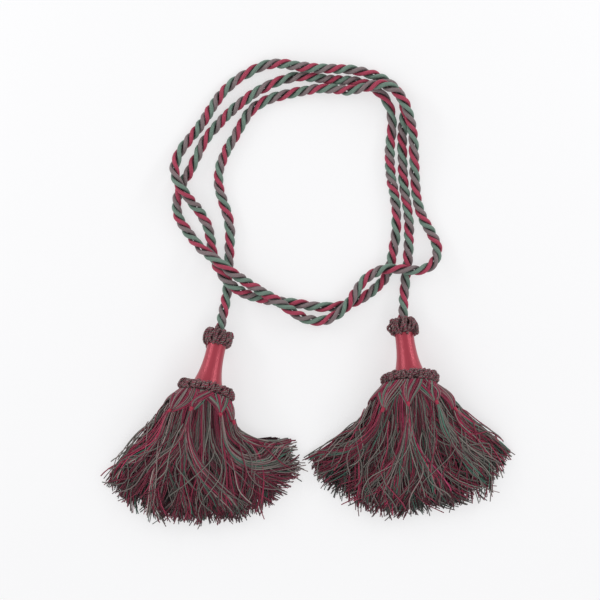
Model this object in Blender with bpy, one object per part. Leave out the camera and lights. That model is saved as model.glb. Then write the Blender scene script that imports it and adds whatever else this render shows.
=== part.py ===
"""Curtain tieback: one long three-ply rope with a netted tassel at each end.

The tieback lies on a flat surface with its two tassels towards -Y. The rope leaves the
left tassel, runs round in loops that pass over each other, and ends in the right tassel.
Each tassel has a ruff round the rope, a thread-covered mould, a second ruff at the
mould's base, a net of yarn bundles, the ties that gather the net's points, and a cut
fringe skirt fanned out on the surface. Lengths are in metres, angles in radians.
"""

from collections import namedtuple
from math import asin, cos, pi, radians, sin, tau

import bmesh
import bpy
import numpy as np
from mathutils import Vector

MM = 0.001

# Rope
ROPE_DIAMETER = 8 * MM
ROPE_TUBE_POINTS = 80
ROPE_BEND_WEIGHT = 0.022
ROPE_SIDE_RESOLUTION = 3

# Ruffs and mould, along and round the tassel's axis, measured from the lower ruff's centre
AXIS_RISE = radians(15)
TOP_RUFF_RADIUS = 11.6 * MM
TOP_RUFF_HEIGHT = 13.5 * MM
TOP_RUFF_LOBES = 9
TOP_RUFF_SIDES = 27
MOUTH_RADIUS = 5.4 * MM
MOUTH_DEPTH = 3.4 * MM
LOWER_RUFF_RADIUS = 18.6 * MM
LOWER_RUFF_WIDTH = 3.9 * MM
LOWER_RUFF_HEIGHT = 3.4 * MM
LOWER_RUFF_DIP = 0.14
LOWER_RUFF_LOOPS = 22
LOWER_RUFF_SIDES = 8
MOULD_BASE = -1.5 * MM
MOULD_BASE_RADIUS = 14.2 * MM
MOULD_TOP_RADIUS = 7.2 * MM
MOULD_SIDES = 28
MOULD_RINGS = 10
PIECE_GAP = 0.4 * MM

# Fringe skirt
SKIRT_HEAD_RADIUS = 19 * MM
SKIRT_SHOULDER = 3.5 * MM
SKIRT_HEAD_DROP = 4.2 * MM
SKIRT_EDGE_HEIGHT = 3.5 * MM
SKIRT_FLAT_FROM = 0.36
SKIRT_TEETH = 20
TOOTH_NOTCH = 0.08
TOOTH_SINK = 2.2 * MM
SKIRT_STATIONS = (0.0, 0.09, 0.2, 0.36, 0.55, 0.76, 0.9, 1.0)

# Net over the head of the skirt
NET_LIFT = 1.4 * MM
NET_THICKNESS = 1.8 * MM
NET_COLUMNS = 48
NET_ROWS = 4
NET_START = 0.015
NET_TIE_CLEARANCE = 0.035
NET_SCALLOP = 0.6
NET_OPENING = 14

# Ties at the net's points
TIE_LENGTH = 3.6 * MM
TIE_RADIUS = 1.5 * MM
TIE_SIDES = 8

# A tassel's place: its lower ruff's centre, the turn of its mould and of its lower ruff
# from the Y axis, the length from the lower ruff's centre to the top ruff's centre, how
# far the skirt's head lies aside of the ruff, and the point that the fan spreads from.
Place = namedtuple("Place", "name x y z mould_turn ruff_turn length aside fan")
PLACES = (
    Place(
        "left", -78.7 * MM, 24.1 * MM, 23.2 * MM, radians(12.5), radians(13), 41.7 * MM,
        0.0, (-80.5 * MM, 20.8 * MM),
    ),
    Place(
        "right", 76.6 * MM, 33 * MM, 23.2 * MM, radians(-6.8), radians(-3), 40.7 * MM,
        -1.5 * MM, (77.1 * MM, 31.3 * MM),
    ),
)

# A rib of the fan: its share across the skirt (-1 left, 1 right), then where the rib
# passes halfway down and where it ends at the hem, each as a bearing from -Y (degrees)
# and a reach from the fan's own point (mm), and the height of the hem there (mm).
Rib = namedtuple("Rib", "share half_bearing half_reach hem_bearing hem_reach crest")
RIBS = {
    "left": (
        Rib(-1.0, -58, 57, -48.5, 105, 6),
        Rib(-0.85, -48, 56, -41, 107, 8),
        Rib(-0.5, -29, 54, -25, 106, 10),
        Rib(-0.2, -12, 52, -9, 102, 11),
        Rib(0.1, 6, 52, 8, 101, 10),
        Rib(0.4, 21, 52, 24, 105, 11),
        Rib(0.65, 31, 50, 39, 101, 10),
        Rib(0.85, 38, 47, 53, 98, 9),
        Rib(1.0, 45, 43, 63, 76, 7),
    ),
    "right": (
        Rib(-1.0, -52, 58, -53, 102, 6),
        Rib(-0.85, -43, 56, -44, 107, 8),
        Rib(-0.5, -26, 54, -26, 108, 10),
        Rib(-0.2, -10, 53, -9, 107, 11),
        Rib(0.1, 5, 53, 5, 106, 10),
        Rib(0.4, 20, 53, 20, 106, 11),
        Rib(0.65, 35, 54, 35, 108, 10),
        Rib(0.85, 47, 55, 46, 104, 9),
        Rib(1.0, 59, 57, 54.5, 99, 6),
    ),
}

# Ties: their turn round the tassel from its top (degrees) and their way down the skirt.
Tie = namedtuple("Tie", "turn way")
TIES = {
    "left": (Tie(-51, 0.18), Tie(-18.5, 0.12), Tie(26.5, 0.14), Tie(65, 0.21)),
    "right": (Tie(-38.5, 0.21), Tie(-2.5, 0.155), Tie(40, 0.17), Tie(63.5, 0.28)),
}
# The net's other gathered points, on the underside.
HIDDEN_POINTS = (Tie(110, 0.2), Tie(155, 0.19), Tie(-160, 0.19), Tie(-105, 0.2))

# The rope's route in millimetres, from the left tassel's top ruff to the right one's.
ROUTE = (
    (-69.1, 67.5, 11.3), (-66.5, 83, 7.5), (-63.3, 101, 4), (-62, 124, 4), (-63, 158, 4),
    (-70, 182, 4), (-66, 204, 4), (-56, 222, 4), (-46, 238, 4), (-31, 248, 4),
    (-9, 253.5, 4), (10, 256, 7), (29, 254.5, 9), (43, 256.5, 12.2), (56, 258.5, 13),
    (67.5, 252.5, 13.2), (75, 239, 12.8), (79.5, 221, 9.5), (80.5, 200, 7), (82, 178, 5),
    (87, 157, 4), (95, 143, 4), (98.5, 131, 5), (94, 120.5, 8.5), (83, 116, 11.5),
    (68, 117, 12.8), (54, 116, 11.5), (42, 108, 10.8), (30, 91, 12.8), (19, 80.5, 9.5),
    (4.5, 77, 5.5), (-10, 82.5, 9.5), (-24, 92, 12.7), (-44, 104, 13), (-62, 116.5, 16.8),
    (-72, 124, 16.2), (-84, 133.5, 8.5), (-91, 142, 4), (-102, 161, 4), (-100, 178, 4),
    (-91, 195, 4), (-82, 214, 4), (-68, 231, 4.5), (-50, 247, 8), (-28, 260, 5),
    (-7, 265.5, 4), (13, 263.5, 4), (32, 262, 4), (48, 257.5, 4), (58, 249, 4),
    (63, 236, 4), (62.5, 214, 4), (62, 196, 4), (66, 170, 4), (67, 152, 4),
    (64, 128, 4), (58.5, 111, 4), (47, 99, 4), (30, 90, 4), (8, 88, 4),
    (-14, 91, 4), (-36, 94, 4.5), (-51, 99, 9), (-62.5, 107, 12.8), (-71.5, 120, 8),
    (-75, 132, 4.5), (-78, 148, 4), (-86, 163, 5), (-95, 174.5, 12.5), (-101, 183, 12.6),
    (-104, 194, 7.5), (-100.5, 206, 4.3), (-90, 220, 4), (-80, 234, 4), (-66, 254, 4),
    (-48, 268, 4), (-27, 275.3, 6), (-7, 272.5, 9.5), (16, 271, 9.3), (38, 269.5, 7),
    (56, 263.5, 4), (67.5, 254.5, 4), (73, 243, 4), (72, 226, 4), (71.7, 202, 4),
    (73, 180, 4), (76, 160, 4), (76.3, 132, 4), (74.5, 112, 4), (72.6, 94, 6),
    (71.5, 76.5, 11.4),
)

# Colours, as linear RGB
CRIMSON_SATIN = (0.38, 0.04, 0.07)
CRIMSON_TIE = (0.4, 0.02, 0.06)
RUFF_YARN = (0.13, 0.07, 0.07)
NET_YARN = (0.16, 0.09, 0.09)
FRINGE_YARN = (0.14, 0.05, 0.06)
ROPE_YARN = (0.22, 0.16, 0.16)


def clear_scene():
    """Remove every object of the startup scene."""
    for existing in list(bpy.data.objects):
        bpy.data.objects.remove(existing, do_unlink=True)


def make_material(name, colour, roughness):
    """Return a Principled material of one colour and roughness, not metallic."""
    material = bpy.data.materials.new(name)
    material.use_nodes = True
    shader = material.node_tree.nodes["Principled BSDF"]
    shader.inputs["Base Color"].default_value = (*colour, 1.0)
    shader.inputs["Roughness"].default_value = roughness
    shader.inputs["Metallic"].default_value = 0.0
    return material


def add_mesh(name, mesh_data, material, parent=None):
    """Make a smooth-shaded mesh object of a bmesh, put it in the scene, and return it."""
    bmesh.ops.recalc_face_normals(mesh_data, faces=mesh_data.faces)
    mesh = bpy.data.meshes.new(name)
    mesh_data.to_mesh(mesh)
    mesh_data.free()
    mesh.shade_smooth()
    mesh.set_sharp_from_angle(angle=radians(50))
    mesh.materials.append(material)
    made = bpy.data.objects.new(name, mesh)
    made.parent = parent
    bpy.context.collection.objects.link(made)
    return made


def add_loft(mesh_data, rings):
    """Bridge a list of closed rings of points and cap both ends."""
    loops = [[mesh_data.verts.new(point) for point in ring] for ring in rings]
    for upper, lower in zip(loops, loops[1:]):
        for near in range(len(upper)):
            far = (near + 1) % len(upper)
            mesh_data.faces.new((upper[near], upper[far], lower[far], lower[near]))
    mesh_data.faces.new(loops[0])
    mesh_data.faces.new(reversed(loops[-1]))


def blend(start, end, share):
    """Value a share of the way from start to end."""
    return start + (end - start) * share


def smooth_step(low, high, value):
    """0 below low, 1 above high, and a smooth rise between them."""
    share = min(max((value - low) / (high - low), 0.0), 1.0)
    return share * share * (3 - 2 * share)


# ---------------------------------------------------------------- rope


def spline_through(points, steps):
    """Points along the natural cubic spline that runs through the given points."""
    spans = np.linalg.norm(np.diff(points, axis=0), axis=1)
    knots = np.concatenate(([0.0], np.cumsum(spans)))
    system = np.eye(len(points))
    turn = np.zeros_like(points)
    for here in range(1, len(points) - 1):
        before, after = spans[here - 1], spans[here]
        system[here, here - 1 : here + 2] = before, 2 * (before + after), after
        leaving = (points[here + 1] - points[here]) / after
        arriving = (points[here] - points[here - 1]) / before
        turn[here] = 6 * (leaving - arriving)
    bend = np.linalg.solve(system, turn)
    way = np.linspace(0.0, knots[-1], steps)
    span = np.clip(np.searchsorted(knots, way) - 1, 0, len(spans) - 1)
    width = spans[span][:, None]
    left = (knots[span + 1] - way)[:, None]
    right = (way - knots[span])[:, None]
    curved = (bend[span] * left**3 + bend[span + 1] * right**3) / (6 * width)
    straight_left = (points[span] / width - bend[span] * width / 6) * left
    straight_right = (points[span + 1] / width - bend[span + 1] * width / 6) * right
    return curved + straight_left + straight_right


def rope_centreline():
    """The rope's tube points: read from the smooth route, closer together in its bends."""
    fine = spline_through(np.array(ROUTE, float) * MM, 4000)
    fine[:, 2] = np.maximum(fine[:, 2], ROPE_DIAMETER / 2)
    steps = np.diff(fine, axis=0)
    lengths = np.linalg.norm(steps, axis=1)
    headings = steps / lengths[:, None]
    turning = np.linalg.norm(np.diff(headings, axis=0), axis=1)
    weight = lengths + ROPE_BEND_WEIGHT * np.concatenate(([0.0], turning))
    reach = np.concatenate(([0.0], np.cumsum(weight)))
    wanted = np.linspace(0.0, reach[-1], ROPE_TUBE_POINTS)
    return np.column_stack([np.interp(wanted, reach, fine[:, axis]) for axis in range(3)])


def make_rope(material):
    """The rope as a round tube along its route, with closed ends."""
    points = rope_centreline()
    curve = bpy.data.curves.new("rope", "CURVE")
    curve.dimensions = "3D"
    curve.bevel_depth = ROPE_DIAMETER / 2
    curve.bevel_resolution = ROPE_SIDE_RESOLUTION
    curve.use_fill_caps = True
    spline = curve.splines.new("POLY")
    spline.points.add(len(points) - 1)
    for spline_point, place in zip(spline.points, points):
        spline_point.co = (*place, 1.0)
    curve.materials.append(material)
    bpy.context.collection.objects.link(bpy.data.objects.new("rope", curve))


# ---------------------------------------------------------------- tassel head


def add_frame(name, place, turn):
    """An empty at the lower ruff's centre, its Z axis along the tassel towards the rope."""
    frame = bpy.data.objects.new(name, None)
    frame.location = (place.x, place.y, place.z)
    frame.rotation_euler = (-(pi / 2 + AXIS_RISE), 0.0, -turn)
    bpy.context.collection.objects.link(frame)
    return frame


def make_top_ruff(place, frame, material):
    """The collar round the rope: a lobed ball with a mouth on top for the rope."""
    mesh_data = bmesh.new()
    half = TOP_RUFF_HEIGHT / 2
    underside = place.length - half * 0.8
    top = place.length + half
    profile = [
        (MOUTH_RADIUS, top - MOUTH_DEPTH, 0.0),
        (MOUTH_RADIUS + 0.6 * MM, top - 0.6 * MM, 0.3),
        (MOUTH_RADIUS + 2.4 * MM, top, 0.8),
    ]
    for step in range(1, 6):
        around = blend(radians(52), radians(-48), step / 5)
        profile.append((TOP_RUFF_RADIUS * cos(around) ** 0.45, place.length + half * sin(around), 1.0))
    profile.append((MOULD_TOP_RADIUS, underside, 0.5))
    rings = []
    for radius, height, lobing in profile:
        ring = []
        for side in range(TOP_RUFF_SIDES):
            turn = tau * side / TOP_RUFF_SIDES
            lobe = 1.0 - 0.085 * lobing * (1 - abs(cos(turn * TOP_RUFF_LOBES / 2)))
            ring.append((radius * lobe * cos(turn), radius * lobe * sin(turn), height))
        rings.append(ring)
    add_loft(mesh_data, rings)
    add_mesh(f"{place.name}_top_ruff", mesh_data, material, frame)


def mould_radius(share):
    """The bell's radius at a share of its height, from its base to its top."""
    flare = (1 - share) ** 2.6
    return blend(MOULD_TOP_RADIUS, MOULD_BASE_RADIUS, flare)


def make_mould(place, frame, material):
    """The bell between the two ruffs."""
    mesh_data = bmesh.new()
    top = place.length - TOP_RUFF_HEIGHT / 2 * 0.8 - PIECE_GAP
    rings = []
    for step in range(MOULD_RINGS):
        share = step / (MOULD_RINGS - 1)
        radius = mould_radius(share)
        height = blend(MOULD_BASE, top, share)
        ring = []
        for side in range(MOULD_SIDES):
            turn = tau * side / MOULD_SIDES
            ring.append((radius * cos(turn), radius * sin(turn), height))
        rings.append(ring)
    add_loft(mesh_data, rings)
    add_mesh(f"{place.name}_mould", mesh_data, material, frame)


def make_lower_ruff(place, frame, material):
    """The collar round the mould's base: a ring with a bump for each loop of yarn."""
    mesh_data = bmesh.new()
    steps = 2 * LOWER_RUFF_LOOPS
    sections = []
    for step in range(steps):
        turn = tau * step / steps
        swell = 1.0 - LOWER_RUFF_DIP * (step % 2)
        section = []
        for side in range(LOWER_RUFF_SIDES):
            around = tau * side / LOWER_RUFF_SIDES
            radius = LOWER_RUFF_RADIUS + LOWER_RUFF_WIDTH * swell * cos(around)
            height = LOWER_RUFF_HEIGHT * swell * sin(around)
            point = (radius * cos(turn), radius * sin(turn), height)
            section.append(mesh_data.verts.new(point))
        sections.append(section)
    for here, section in enumerate(sections):
        following = sections[(here + 1) % steps]
        for near in range(LOWER_RUFF_SIDES):
            far = (near + 1) % LOWER_RUFF_SIDES
            mesh_data.faces.new((section[near], section[far], following[far], following[near]))
    add_mesh(f"{place.name}_lower_ruff", mesh_data, material, frame)


# ---------------------------------------------------------------- skirt, net and ties


def rib_column(ribs, column, share):
    """One column of a tassel's rib table, read at a share across the skirt."""
    shares = [rib.share for rib in ribs]
    return float(np.interp(share, shares, [getattr(rib, column) for rib in ribs]))


def polar(place, bearing, reach):
    """The plan point at a bearing from -Y (degrees) and a reach (mm) from the fan's point."""
    angle = radians(bearing)
    return Vector((place.fan[0] + reach * MM * sin(angle), place.fan[1] - reach * MM * cos(angle)))


def skirt_point(place, turn, way, lift=0.0):
    """A point of the skirt's surface.

    turn goes round the tassel from the top (0) over its right side (pi / 2), and way
    runs from the skirt's head (0) to the hem (1). lift moves the point off the surface.
    """
    ribs = RIBS[place.name]
    share = sin(turn)
    up = cos(turn)
    along = Vector((sin(place.ruff_turn), cos(place.ruff_turn)))
    across = Vector((cos(place.ruff_turn), -sin(place.ruff_turn)))
    head_radius = SKIRT_HEAD_RADIUS + lift
    head_plan = Vector((place.x, place.y)) + across * (place.aside + head_radius * share)
    head_plan -= along * SKIRT_HEAD_DROP
    head_height = place.z + SKIRT_HEAD_DROP * sin(AXIS_RISE) + head_radius * up * cos(AXIS_RISE)
    half = polar(place, rib_column(ribs, "half_bearing", share), rib_column(ribs, "half_reach", share))
    hem = polar(place, rib_column(ribs, "hem_bearing", share), rib_column(ribs, "hem_reach", share))
    plan = (
        head_plan * (2 * (way - 0.5) * (way - 1))
        + half * (4 * way * (1 - way))
        + hem * (2 * way * (way - 0.5))
    )
    tilt_left = max(0.0, 1 - way / SKIRT_FLAT_FROM)
    plan += along * (head_radius * up * sin(AXIS_RISE) * tilt_left)
    plan += across * (lift * share * (1 - tilt_left))
    plan += across * (SKIRT_SHOULDER * share * 4 * tilt_left * (1 - tilt_left))
    if up >= 0:
        crest = rib_column(ribs, "crest", share) * MM
        hem_height = SKIRT_EDGE_HEIGHT + (crest - SKIRT_EDGE_HEIGHT) * (1 - abs(share) ** 8)
        height = blend(head_height, hem_height + lift, 1 - (1 - way) ** 1.55)
    else:
        settled = min(way / SKIRT_FLAT_FROM, 1.0)
        height = blend(head_height, SKIRT_EDGE_HEIGHT * abs(share) ** 12, settled)
    return Vector((plan.x, plan.y, height))


def make_skirt(place, material):
    """The cut fringe: flat underneath, heaped at its head, a comb of locks along its hem."""
    mesh_data = bmesh.new()
    steps = 2 * SKIRT_TEETH
    tops, bottoms = [], []
    for way in SKIRT_STATIONS:
        top, bottom = [], []
        for step in range(steps + 1):
            lean = asin(max(-1.0, min(1.0, 2 * step / steps - 1)))
            notch = 1.0 if step % 2 == 0 else 0.0
            notched_way = way * (1 - TOOTH_NOTCH * notch * smooth_step(0.55, 1.0, way))
            upper = skirt_point(place, lean, notched_way)
            edge = step in (0, steps)
            if not edge:
                upper.z -= TOOTH_SINK * notch * smooth_step(0.15, 0.9, way)
            top.append(mesh_data.verts.new(upper))
            lower = skirt_point(place, pi - lean, notched_way)
            bottom.append(top[-1] if edge else mesh_data.verts.new(lower))
        tops.append(top)
        bottoms.append(bottom)
    for here in range(len(SKIRT_STATIONS) - 1):
        for step in range(steps):
            for rows in (tops, bottoms):
                near, far = rows[here], rows[here + 1]
                mesh_data.faces.new((near[step], near[step + 1], far[step + 1], far[step]))
    for end in (0, -1):
        for step in range(steps):
            corners = [tops[end][step], tops[end][step + 1], bottoms[end][step + 1], bottoms[end][step]]
            mesh_data.faces.new(list(dict.fromkeys(corners)))
    return add_mesh(f"{place.name}_skirt", mesh_data, material)


def net_reach(turn, points):
    """How far down the skirt the net's lower edge comes, and how far off a point that is.

    turn and the distance returned are in degrees.
    """
    nearest = min(abs((turn - point.turn + 180) % 360 - 180) for point in points)
    turns = [point.turn for point in points]
    way = np.interp(turn, turns, [point.way for point in points], period=360)
    scallop = blend(1.0, NET_SCALLOP, smooth_step(3, 18, nearest))
    return (float(way) - NET_TIE_CLEARANCE) * scallop, nearest


def make_net(place, material):
    """The net: a shell over the head of the skirt, with a gap beside each gathered point."""
    mesh_data = bmesh.new()
    points = TIES[place.name] + HIDDEN_POINTS
    grid, open_columns = [], []
    for column in range(NET_COLUMNS):
        turn = 360 * (column - NET_COLUMNS / 2) / NET_COLUMNS
        reach, distance = net_reach(turn, points)
        line = []
        for row in range(NET_ROWS + 1):
            way = blend(NET_START, reach, row / NET_ROWS)
            line.append(mesh_data.verts.new(skirt_point(place, radians(turn), way, NET_LIFT)))
        grid.append(line)
        open_columns.append(distance > NET_OPENING)
    for column in range(NET_COLUMNS):
        following = grid[(column + 1) % NET_COLUMNS]
        between_points = open_columns[column] and open_columns[(column + 1) % NET_COLUMNS]
        for row in range(NET_ROWS):
            if between_points and row == 2:
                continue
            line = grid[column]
            mesh_data.faces.new((line[row], following[row], following[row + 1], line[row + 1]))
    net = add_mesh(f"{place.name}_net", mesh_data, material)
    shell = net.modifiers.new("thickness", "SOLIDIFY")
    shell.thickness = NET_THICKNESS
    shell.offset = 1.0
    return net


def make_tie(place, number, tie, material):
    """A short barrel of wrapped thread lying down the skirt at one point of the net."""
    lift = NET_LIFT + TIE_RADIUS + PIECE_GAP
    start = skirt_point(place, radians(tie.turn), tie.way, lift)
    onward = skirt_point(place, radians(tie.turn), tie.way + 0.02, lift)
    heading = (onward - start).normalized()
    mesh_data = bmesh.new()
    rings = []
    for height, swell in ((0.0, 0.8), (0.3, 1.0), (0.7, 1.0), (1.0, 0.8)):
        ring = []
        for side in range(TIE_SIDES):
            around = tau * side / TIE_SIDES
            radius = TIE_RADIUS * swell
            ring.append((radius * cos(around), radius * sin(around), height * TIE_LENGTH))
        rings.append(ring)
    add_loft(mesh_data, rings)
    made = add_mesh(f"{place.name}_tie_{number}", mesh_data, material)
    made.location = start
    made.rotation_euler = heading.to_track_quat("Z", "Y").to_euler()


def make_tassel(place, materials):
    """All the pieces of one tassel."""
    mould_frame = add_frame(f"{place.name}_mould_frame", place, place.mould_turn)
    ruff_frame = add_frame(f"{place.name}_ruff_frame", place, place.ruff_turn)
    make_top_ruff(place, mould_frame, materials["ruff"])
    make_mould(place, mould_frame, materials["satin"])
    make_lower_ruff(place, ruff_frame, materials["ruff"])
    make_skirt(place, materials["fringe"])
    make_net(place, materials["net"])
    for number, tie in enumerate(TIES[place.name], start=1):
        make_tie(place, number, tie, materials["tie"])


def main():
    """Build the whole tieback."""
    clear_scene()
    materials = {
        "ruff": make_material("ruff yarn", RUFF_YARN, 0.8),
        "satin": make_material("satin thread", CRIMSON_SATIN, 0.35),
        "fringe": make_material("fringe yarn", FRINGE_YARN, 0.85),
        "net": make_material("net yarn", NET_YARN, 0.8),
        "tie": make_material("tie thread", CRIMSON_TIE, 0.5),
    }
    make_rope(make_material("rope yarn", ROPE_YARN, 0.6))
    for place in PLACES:
        make_tassel(place, materials)
    bpy.context.view_layer.update()


main()
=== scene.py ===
"""Looks of a curtain tieback: a long three-ply rope with a netted tassel at each end.

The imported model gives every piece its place. This script lays the real yarn round it:
the three plies of the rope, the looped gimp of the ruffs, satin thread on the moulds,
the crossing bundles of the nets, the ties, and the thousands of cut fringe yarns.
Lengths are in metres and angles in radians unless a name or a comment says otherwise.
"""

import logging
from dataclasses import dataclass, field
from enum import Enum
from math import cos, pi, radians, sin, tau
from typing import Any, Callable, Optional, Sequence, Union

import bpy
import numpy as np
from mathutils import Euler, Matrix, Vector


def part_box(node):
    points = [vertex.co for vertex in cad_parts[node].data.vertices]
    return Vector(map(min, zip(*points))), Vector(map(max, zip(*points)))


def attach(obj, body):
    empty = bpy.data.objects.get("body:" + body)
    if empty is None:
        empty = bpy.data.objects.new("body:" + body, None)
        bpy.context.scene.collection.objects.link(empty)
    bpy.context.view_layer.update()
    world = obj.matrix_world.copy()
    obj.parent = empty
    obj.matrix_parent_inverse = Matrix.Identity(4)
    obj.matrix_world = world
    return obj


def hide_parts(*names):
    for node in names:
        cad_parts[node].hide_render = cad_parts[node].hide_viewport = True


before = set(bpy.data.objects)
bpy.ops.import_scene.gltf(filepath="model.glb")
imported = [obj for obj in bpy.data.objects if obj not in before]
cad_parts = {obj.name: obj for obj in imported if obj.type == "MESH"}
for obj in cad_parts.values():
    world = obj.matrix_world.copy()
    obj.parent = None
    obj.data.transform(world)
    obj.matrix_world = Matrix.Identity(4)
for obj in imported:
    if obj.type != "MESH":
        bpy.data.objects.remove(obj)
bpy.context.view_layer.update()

MM = 0.001
GOLDEN = 0.6180339
SMOOTH_BELOW = radians(60)
BODY = "root"
log = logging.getLogger("tieback")

Points = np.ndarray
Colour = tuple[float, float, float]


# ------------------------------------------------------------------ colours


def linear(red: int, green: int, blue: int) -> Colour:
    """Turn a dyer's 0-255 display colour into linear RGB.

    Args:
        red: Red, 0 to 255.
        green: Green, 0 to 255.
        blue: Blue, 0 to 255.

    Returns:
        The colour in linear light.
    """
    parts = []
    for value in (red, green, blue):
        share = value / 255
        low = share / 12.92
        high = ((share + 0.055) / 1.055) ** 2.4
        parts.append(low if share <= 0.04045 else high)
    return (parts[0], parts[1], parts[2])


class Dye(Enum):
    """The dyes of the yarns, in linear RGB."""

    CRIMSON_PLY = linear(174, 58, 86)
    TEAL_PLY = linear(112, 138, 124)
    TAUPE_PLY = linear(132, 116, 118)
    SATIN = linear(178, 56, 74)
    TIE = linear(170, 40, 70)
    BURGUNDY = linear(150, 40, 72)
    WINE = linear(112, 34, 58)
    BRIGHT_CRIMSON = linear(172, 46, 84)
    GREY_GREEN = linear(132, 128, 121)
    WARM_GREY = linear(148, 130, 128)
    BRIGHT_TEAL = linear(74, 124, 106)
    # Painted shade: the fringe's core is dyed near black to stand for the shade deep between the
    # locks.
    CORE = linear(26, 11, 15)


@dataclass(frozen=True)
class Blend:
    """A mix of dyes, by share.

    Attributes:
        dyes: The dyes.
        shares: How much of the yarn has each.
        spread: How much one yarn's lightness differs from the next.
    """

    dyes: tuple[Dye, ...]
    shares: tuple[float, ...]
    spread: float = 0.34

    def pick(self, rng: np.random.Generator, count: int) -> np.ndarray:
        """Give each of a number of yarns a dye.

        Args:
            rng: Source of chance.
            count: How many yarns.

        Returns:
            One linear RGB colour for each yarn.
        """
        table = np.array([dye.value for dye in self.dyes])
        shares = np.array(self.shares) / sum(self.shares)
        picked = table[rng.choice(len(table), size=count, p=shares)]
        lightness = np.exp(rng.normal(0.0, self.spread, (count, 1)))
        return np.clip(picked * lightness, 0.0, 1.0)


FRINGE_BLEND = Blend(
    (Dye.BURGUNDY, Dye.WINE, Dye.BRIGHT_CRIMSON, Dye.GREY_GREEN, Dye.WARM_GREY, Dye.BRIGHT_TEAL),
    (0.38, 0.10, 0.13, 0.21, 0.08, 0.10),
)
BURGUNDY_LOCK = Blend(
    (Dye.BURGUNDY, Dye.WINE, Dye.BRIGHT_CRIMSON, Dye.GREY_GREEN),
    (0.5, 0.2, 0.2, 0.1),
)
GREY_LOCK = Blend(
    (Dye.GREY_GREEN, Dye.WARM_GREY, Dye.BRIGHT_TEAL, Dye.BURGUNDY, Dye.WINE),
    (0.4, 0.16, 0.12, 0.22, 0.1),
)
STRAY_BLEND = Blend((Dye.GREY_GREEN, Dye.WARM_GREY, Dye.BURGUNDY), (0.5, 0.25, 0.25), 0.12)


# ------------------------------------------------------------------ shader language


Operand = Union["Value", float, int]


def operator(operation: str, swapped: bool = False) -> Callable[["Value", Operand], "Value"]:
    """A Python operator that adds one Math node, with its operands swapped if asked."""

    def apply(value: "Value", other: Operand) -> "Value":
        """The result of the operation."""
        first, second = (other, value) if swapped else (value, other)
        return value.math(operation, first, second)

    return apply


class Value:
    """A shader socket that can be used in Python arithmetic."""

    def __init__(self, recipe: "Recipe", socket: bpy.types.NodeSocket) -> None:
        """Wrap a socket of a recipe's node tree."""
        self.recipe = recipe
        self.socket = socket

    def math(self, operation: str, first: Operand, second: Operand) -> "Value":
        """Add one Math node to the recipe and return its result."""
        return self.recipe.node("ShaderNodeMath", {"operation": operation}, {0: first, 1: second})

    __add__ = operator("ADD")
    __radd__ = operator("ADD", swapped=True)
    __sub__ = operator("SUBTRACT")
    __rsub__ = operator("SUBTRACT", swapped=True)
    __mul__ = operator("MULTIPLY")
    __rmul__ = operator("MULTIPLY", swapped=True)
    __truediv__ = operator("DIVIDE")

    def sine(self) -> "Value":
        """Sine of the value."""
        return self.math("SINE", self, 0.0)

    def absolute(self) -> "Value":
        """The value without its sign."""
        return self.math("ABSOLUTE", self, 0.0)

    def clamped(self) -> "Value":
        """The value held between 0 and 1."""
        return self.math("MINIMUM", self.math("MAXIMUM", self, 0.0), 1.0)


class Recipe:
    """A material under construction."""

    def __init__(self, name: str) -> None:
        """Start a material that holds one Principled shader."""
        self.material = bpy.data.materials.new(name)
        self.material.use_nodes = True
        self.tree = self.material.node_tree
        self.shader = self.tree.nodes["Principled BSDF"]

    def node(
        self,
        kind: str,
        settings: Optional[dict[str, Any]] = None,
        inputs: Optional[dict[Union[int, str], Any]] = None,
        output: Union[int, str] = 0,
    ) -> Value:
        """Add a node.

        Args:
            kind: The node's type.
            settings: Properties of the node, set first.
            inputs: Values or links of its sockets, by name or number.
            output: Which of its outputs to return.

        Returns:
            The chosen output.
        """
        made = self.tree.nodes.new(kind)
        for key, setting in (settings or {}).items():
            setattr(made, key, setting)
        for key, value in (inputs or {}).items():
            self.feed(made.inputs[key], value)
        return Value(self, made.outputs[output])

    def feed(self, socket: bpy.types.NodeSocket, value: Any) -> None:
        """Link a value to a socket, or set the socket to a number or a colour."""
        if isinstance(value, Value):
            self.tree.links.new(value.socket, socket)
        elif isinstance(value, (tuple, list)) and len(value) == 3 and socket.type == "RGBA":
            socket.default_value = (*value, 1.0)
        else:
            socket.default_value = value

    def constants(self, **values: Any) -> None:
        """Set numbers or colours on the shader's sockets, an underscore standing for a space."""
        for name, value in values.items():
            socket = name.replace("_", " ").title().replace("Ior", "IOR")
            self.feed(self.shader.inputs[socket], value)

    def surface(self, name: str, value: Value) -> None:
        """Link a value that changes over the surface to one of the shader's sockets."""
        self.feed(self.shader.inputs[name], value)

    def tint(self, colour: Any, strength: Operand) -> Value:
        """Scale a colour by a number."""
        settings = {"operation": "SCALE"}
        return self.node("ShaderNodeVectorMath", settings, {0: colour, "Scale": strength})

    def dye(self) -> Value:
        """The colour that each yarn was given: its dye, with painted shade on the fringe and its
        core.
        """
        return self.node("ShaderNodeAttribute", {"attribute_name": "dye"}, {}, "Color")

    def along(self) -> tuple[Value, Value]:
        """The way round a yarn (0 to 1) and the way along it (in metres)."""
        texture = self.node("ShaderNodeUVMap", {"uv_map": "lay"})
        split = self.tree.nodes.new("ShaderNodeSeparateXYZ")
        self.feed(split.inputs[0], texture)
        return Value(self, split.outputs[0]), Value(self, split.outputs[1])

    def noise(self, around: Value, onward: Value, scale: float, detail: float = 2.0) -> Value:
        """Noise over two coordinates, about 0 to 1."""
        place = self.node("ShaderNodeCombineXYZ", {}, {0: around, 1: onward})
        inputs = {"Vector": place, "Scale": scale, "Detail": detail}
        return self.node("ShaderNodeTexNoise", {}, inputs)

    def bump(self, height: Value, distance: float, strength: float = 1.0) -> None:
        """Raise the surface by a height of 0 to 1 times a distance."""
        inputs = {"Height": height, "Distance": distance, "Strength": strength}
        self.surface("Normal", self.node("ShaderNodeBump", {}, inputs))


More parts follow.
